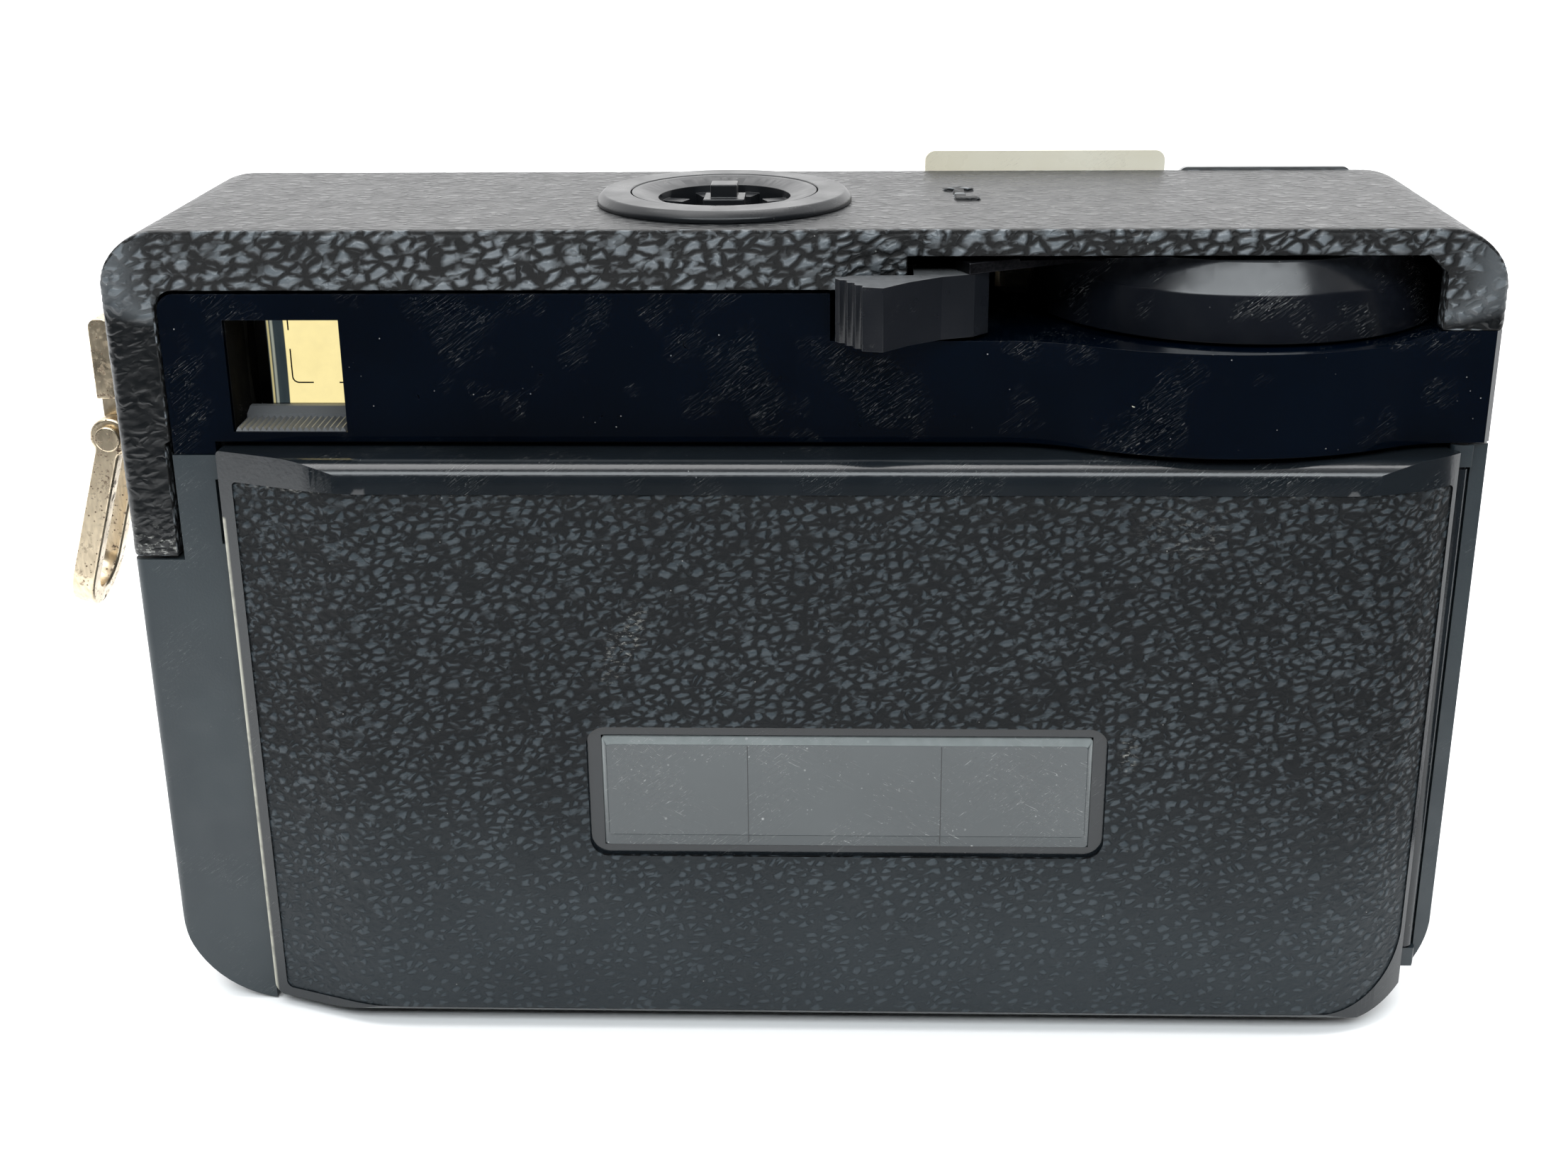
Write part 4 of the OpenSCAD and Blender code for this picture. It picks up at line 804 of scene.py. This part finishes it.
def make_front_leather():
    """Grained covering of the front round the lens."""
    lo, hi = box_mm("front_covering")
    lens_lo, lens_hi = box_mm("lens_housing")
    lens, radius = (lens_lo + lens_hi) / 2, (lens_hi[0] - lens_lo[0]) / 2

    def inside(x, z):
        gap = rect_gap(x, z, lo[0], hi[0], lo[2], hi[2] + 20, 7.4)
        gap = np.minimum(gap, hi[2] - z)
        return np.minimum(gap, np.hypot(x - lens[0], z - lens[2]) - radius - 0.35) - 0.1

    def place(x, z):
        ones = np.ones_like(x)
        return np.stack([x, hi[1] * ones, z], -1), np.stack([0 * x, ones, 0 * x], -1)

    step = 0.3
    skin("front_leather", np.arange(lo[0], hi[0] + step, step), np.arange(lo[2], hi[2] + step, step),
         inside, place, lambda x, z: (leather_relief(x + 200, z, 200), 0.14), "camera", "leather",
         "leatherette", 0.3)


# ---------- small detailed pieces ----------

def prism(outline, low, high, axis):
    """Points and faces of an outline made solid along an axis, counter-clockwise seen from its far end."""
    n = len(outline)
    rows = []
    for level in (low, high):
        for a, b in outline:
            rows.append({0: (level, a, b), 1: (a, level, b), 2: (a, b, level)}[axis])
    faces = [tuple(range(n - 1, -1, -1)), tuple(range(n, 2 * n))]
    faces += [(i, (i + 1) % n, n + (i + 1) % n, n + i) for i in range(n)]
    if axis == 1:
        faces = [tuple(reversed(f)) for f in faces]
    return rows, faces


def joined(parts):
    """Several (points, faces) as one."""
    points, faces = [], []
    for p, f in parts:
        faces += [tuple(i + len(points) for i in face) for face in f]
        points += list(p)
    return points, faces


def soften(obj, width, segments, angle, weight):
    """Rounds the edges of a piece that are sharper than angle."""
    weld = obj.modifiers.new("weld", "WELD")
    weld.merge_threshold = 2e-6
    flat = obj.modifiers.new("flat", "DECIMATE")
    flat.decimate_type, flat.angle_limit = "DISSOLVE", math.radians(0.4)
    bevel = obj.modifiers.new("bevel", "BEVEL")
    bevel.width, bevel.segments = width * MM, segments
    bevel.limit_method, bevel.angle_limit = "ANGLE", math.radians(angle)
    bevel.use_clamp_overlap, bevel.harden_normals = True, False
    bevel.miter_outer = "MITER_ARC"
    shade = obj.modifiers.new("shade", "WEIGHTED_NORMAL")
    shade.keep_sharp = False
    shade.weight = weight


def make_pane():
    """Cartridge window: a pane with sloping borders and two faint joints across its face."""
    lo, hi = box_mm("door_window")
    x0, x1, z0, z1 = lo[0], hi[0], lo[2], hi[2]
    back, face = hi[1], lo[1]
    rim = 0.34
    inner = (x0 + 0.42, x1 - 0.42, z0 + 1.15, z1 - 0.62)

    def ring(x0, x1, z0, z1, y, r, n=6):
        pts = []
        for cx, cz, start in ((x1 - r, z1 - r, 0), (x0 + r, z1 - r, 90), (x0 + r, z0 + r, 180),
                              (x1 - r, z0 + r, 270)):
            for k in range(n + 1):
                a = math.radians(start + 90 * k / n)
                pts.append((cx + r * math.cos(a), y, cz + r * math.sin(a)))
        return pts

    rings = [ring(x0, x1, z0, z1, back, 0.3), ring(x0, x1, z0, z1, face + rim, 0.3),
             ring(x0 + 0.06, x1 - 0.06, z0 + 0.06, z1 - 0.06, face + rim - 0.07, 0.3),
             ring(inner[0] - 0.05, inner[1] + 0.05, inner[2] - 0.08, inner[3] + 0.05, face + 0.05, 0.3),
             ring(*inner, face, 0.3)]
    n = len(rings[0])
    points = [p for r in rings for p in r]
    faces = [tuple(range(n))] + [tuple((len(rings) - 1) * n + i for i in range(n - 1, -1, -1))]
    for k in range(len(rings) - 1):
        for i in range(n):
            j = (i + 1) % n
            faces.append((k * n + i, (k + 1) * n + i, (k + 1) * n + j, k * n + j))
    # Painted highlight: the points along the pane's top rim get the pale rim colour.
    painted_top_highlight = [1.0 if n <= i < 4 * n and points[i][2] > inner[3] - 0.1 else 0.0 for i in range(len(points))]
    make_piece("window_pane", points, faces, "door", "pane", "clear_plastic", ["door_window"],
               smooth=False, fields={"rim": painted_top_highlight})
    half, low, high = 0.035, z0 + 0.4, z1 - 0.7
    joints = [prism([(x - half, low), (x + half, low), (x + half, high), (x - half, high)],
                    face - 0.012, face + 0.02, 1) for x in (-4.2, 11.9)]
    make_piece("window_joints", *joined(joints), "door", "door_plastic", "clear_plastic", smooth=False)


def make_finder():
    """What the eye sees in the finder: the bright scene as a glowing plane of painted light, corner marks,
    dark lining and the ribbed sill.
    """
    lens_lo, lens_hi = box_mm("eyepiece_lens")
    x0, x1, z0, z1 = lens_lo[0], lens_hi[0], lens_lo[2], lens_hi[2]
    y = lens_hi[1] + 0.15
    n = 10
    points, faces = [], []
    for i in range(n + 1):
        for j in range(n + 1):
            u, v = 2 * i / n - 1, 2 * j / n - 1
            crown = 0.25 * (1 - u * u) * (1 - v * v)
            points.append((x0 + (x1 - x0) * i / n, y + crown, z0 + (z1 - z0) * j / n))
    for i in range(n):
        for j in range(n):
            a = i * (n + 1) + j
            faces.append((a, a + n + 1, a + n + 2, a + 1))
    make_piece("finder_scene", points, faces, "camera", "finder_light", "amber_glass")
    marks, half, reach, bend = [], 0.055, 1.75, 0.5
    for cx, side in ((-42.85, 1), (-37.15, -1)):
        for cz, rise in ((55.05, 1), (61.3, -1)):
            line = [(cx, cz + rise * 2.9 * (1 if rise > 0 else 0.6))]
            for a in (math.radians(d) for d in (0, 22, 45, 68, 90)):
                line.append((cx + side * bend * (1 - math.cos(a)), cz + rise * bend * (1 - math.sin(a))))
            line.append((cx + side * reach, cz))
            marks.append(ribbon(line, half, y - 0.06, y - 0.02))
    make_piece("finder_marks", *joined(marks), "camera", "matte", "matte_black", smooth=False)
    rear = panel_y(x0)
    pitch, floor = 0.5, z0 - 0.05
    count = int((x1 - x0 + 0.1) / pitch)
    start = (x0 + x1) / 2 - pitch * count / 2
    outline = [(start + 0.02, floor + 0.01)]
    for i in range(count):
        outline += [(start + pitch * i + 0.04, floor + 0.05), (start + pitch * (i + 0.4), floor + 0.36),
                    (start + pitch * (i + 0.6), floor + 0.36)]
    outline += [(start + pitch * count - 0.02, floor + 0.05), (start + pitch * count, floor + 0.01)]
    ribs = prism(outline[::-1], rear + 0.1, rear + 3.6, 1)
    step = prism([(rear + 3.5, floor), (rear + 5.2, floor), (rear + 5.2, floor + 0.9),
                  (rear + 4.6, floor + 0.9), (rear + 3.6, floor + 0.5)], x0 - 0.02, x1 + 0.02, 0)
    near, far, left, right = rear + 0.3, rear + 5.1, x0 + 0.03, x0 + 0.1
    lining = prism([(left, near), (right, near), (right, far), (left, far)], z0 - 0.02, z1 + 0.02, 2)
    make_piece("finder_lining", *lining, "camera", "felt", "matte_black", smooth=False)
    make_piece("finder_sill", *joined([ribs, step]), "camera", "sill", "gloss_black", smooth=False)


def ribbon(line, half, y0, y1):
    """Flat strip of even width along a line in X and Z, between y0 and y1."""
    p = np.array(line)
    t = np.gradient(p, axis=0)
    n = np.stack([-t[:, 1], t[:, 0]], -1) / np.hypot(t[:, 0], t[:, 1])[:, None]
    outline = np.concatenate([p + n * half, (p - n * half)[::-1]])
    area = np.sum(outline[:, 0] * np.roll(outline[:, 1], -1) - np.roll(outline[:, 0], -1) * outline[:, 1])
    if area < 0:
        outline = outline[::-1]
    points = [(a, y0, b) for a, b in outline] + [(a, y1, b) for a, b in outline]
    m = len(outline)
    faces = [(i, (i + 1) % m, m + (i + 1) % m, m + i) for i in range(m)]
    for i in range(len(p) - 1):
        a, b, c, d = i, i + 1, m - 2 - i, m - 1 - i
        faces += [(a, b, c, d), (m + d, m + c, m + b, m + a)]
    return points, faces


def make_lint():
    """Short curved fibres of dust that lie on the gloss panel."""
    rng = np.random.default_rng(8)
    parts, up = [], 0.04
    for x, z in ((-8.9, 61.8), (-8.7, 60.4), (-20.5, 57.8), (9.6, 55.6), (12.4, 54.7), (26.3, 56.4),
                 (-30.6, 56.1), (-15.6, 54.4), (-1.2, 57.7), (5.2, 53.9), (-26.4, 62.1), (-44, 55.7)):
        bend, size, turn = rng.uniform(0.6, 2.6), rng.uniform(0.12, 0.3), rng.uniform(0, 2 * math.pi)
        turns = [turn + bend * k / 6 for k in range(7)]
        arc = [(x + size * math.cos(a), z + size * math.sin(a)) for a in turns]
        points, faces = ribbon(arc, 0.025, -1, -1)
        parts.append(([(a, panel_y(a) - up, c) for a, _, c in points], faces))
    make_piece("panel_lint", *joined(parts), "camera", "cream", "gloss_black", smooth=False)


def panel_y(x):
    """Rear surface of the gloss panel at x."""
    if x < 16.07:
        return -13.85
    if x < 22.5:
        return -27.85 + math.sqrt(14 ** 2 - (x - 16.07) ** 2)
    if x < 46.5:
        return 7.65 - math.sqrt(26 ** 2 - (x - 34.5) ** 2)
    return -27.85 + math.sqrt(14 ** 2 - max(52.93 - x, 0) ** 2)


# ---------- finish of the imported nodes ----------

FINISH = {
    "moulding": ["main_body", "lens_housing"],
    "door_plastic": ["rear_door"],
    "gloss": ["rear_panel"],
    "disc": ["advance_disc"],
    "satin": ["advance_thumb_tip"],
    "socket": ["socket_ring", "socket_turret", "socket_post"],
    "matte": ["viewfinder_tube", "viewfinder_mask"],
    "lens_black": ["lens_barrel", "lens_retaining_ring", "exposure_ring"],
    "nylon": ["take_up_drive", "index_rack"],
    "cream": ["release_bar"],
    "felt": ["window_seal"],
    "steel": ["mechanism_plate", "shutter_plate", "ratchet_pawl", "flash_striker",
              "trip_rod", "release_lever", "perforation_feeler"],
    "bright": ["mechanism_screws", "shutter_pivot", "advance_spindle",
               "release_pivot_pin", "case_screws"],
    "fascia": ["front_plate"],
    "blackened": ["aperture_blade", "shutter_blade", "advance_arm", "door_hinge_pins"],
    "spring": ["shutter_spring", "cartridge_spring", "latch_spring", "advance_return_spring",
               "release_spring"],
    "brass": ["drive_gear", "socket_gear"],
    "nickel": ["door_latch", "loop_pin", "strap_loop"],
    "amber_glass": ["eyepiece_lens"],
    "clear_glass": ["objective_lens", "viewfinder_window", "lens_front_element", "lens_rear_element"],
    "cover": ["top_cover"],
    "leather": ["door_covering", "front_covering"],
}
# Angle in degrees above which a node's edges are rounded, where it isn't 32.
CRISP = {"advance_disc": 12, "advance_thumb_tip": 14, "socket_ring": 20, "socket_turret": 20}
# Width in millimetres of the rounding on a node's edges.
ROUNDED = {
    "main_body": 0.25, "rear_panel": 0.22, "top_cover": 0.12, "rear_door": 0.12, "advance_disc": 0.16,
    "advance_thumb_tip": 0.14, "socket_ring": 0.14, "socket_turret": 0.12, "socket_post": 0.12,
    "lens_housing": 0.4, "lens_barrel": 0.25,
    "exposure_ring": 0.12, "door_latch": 0.16, "strap_loop": 0.45, "loop_pin": 0.15,
    "mechanism_plate": 0.1, "mechanism_screws": 0.12, "case_screws": 0.1, "lens_retaining_ring": 0.1,
    "take_up_drive": 0.12, "ratchet_pawl": 0.1, "viewfinder_window": 0.1, "advance_arm": 0.1,
    "release_lever": 0.1, "flash_striker": 0.1, "viewfinder_tube": 0.1, "shutter_plate": 0.08,
    "drive_gear": 0.08, "socket_gear": 0.08, "index_rack": 0.08,
}


def finish_nodes():
    """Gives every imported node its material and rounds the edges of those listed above."""
    for material, nodes in FINISH.items():
        for node in nodes:
            obj = bpy.data.objects[node]
            obj.data.materials.clear()
            obj.data.materials.append(MATERIALS[material])
            if material in ("cover", "leather"):
                for key in ("even", "scuff"):
                    obj.data.attributes.new(key, "FLOAT", "POINT")
            obj.data.polygons.foreach_set("use_smooth", [True] * len(obj.data.polygons))
            obj.data.polygons.foreach_set("material_index", [0] * len(obj.data.polygons))
            if node in ROUNDED:
                soften(obj, ROUNDED[node], 3 if ROUNDED[node] > 0.2 else 2, CRISP.get(node, 32),
                       100 if node in ("rear_panel", "advance_thumb_tip") else 50)


# ---------- scene ----------

make_camera()
make_world()
make_materials()
make_floor()
make_light("over", (-0.05, 0.1, 0.9), (0, 0, 0.03), (1.0, 0.6), 8.0)
make_light("rear_high", (0.0, -0.62, 0.68), (0, 0, 0.05), (1.1, 0.34), 8.0, (0.94, 1.0, 1.03))
make_flag()
finish_nodes()
make_roof()
make_walls()
make_door_leather()
make_front_leather()
make_pane()
make_finder()
make_lint()
bpy.context.scene.view_settings.view_transform = "Standard"
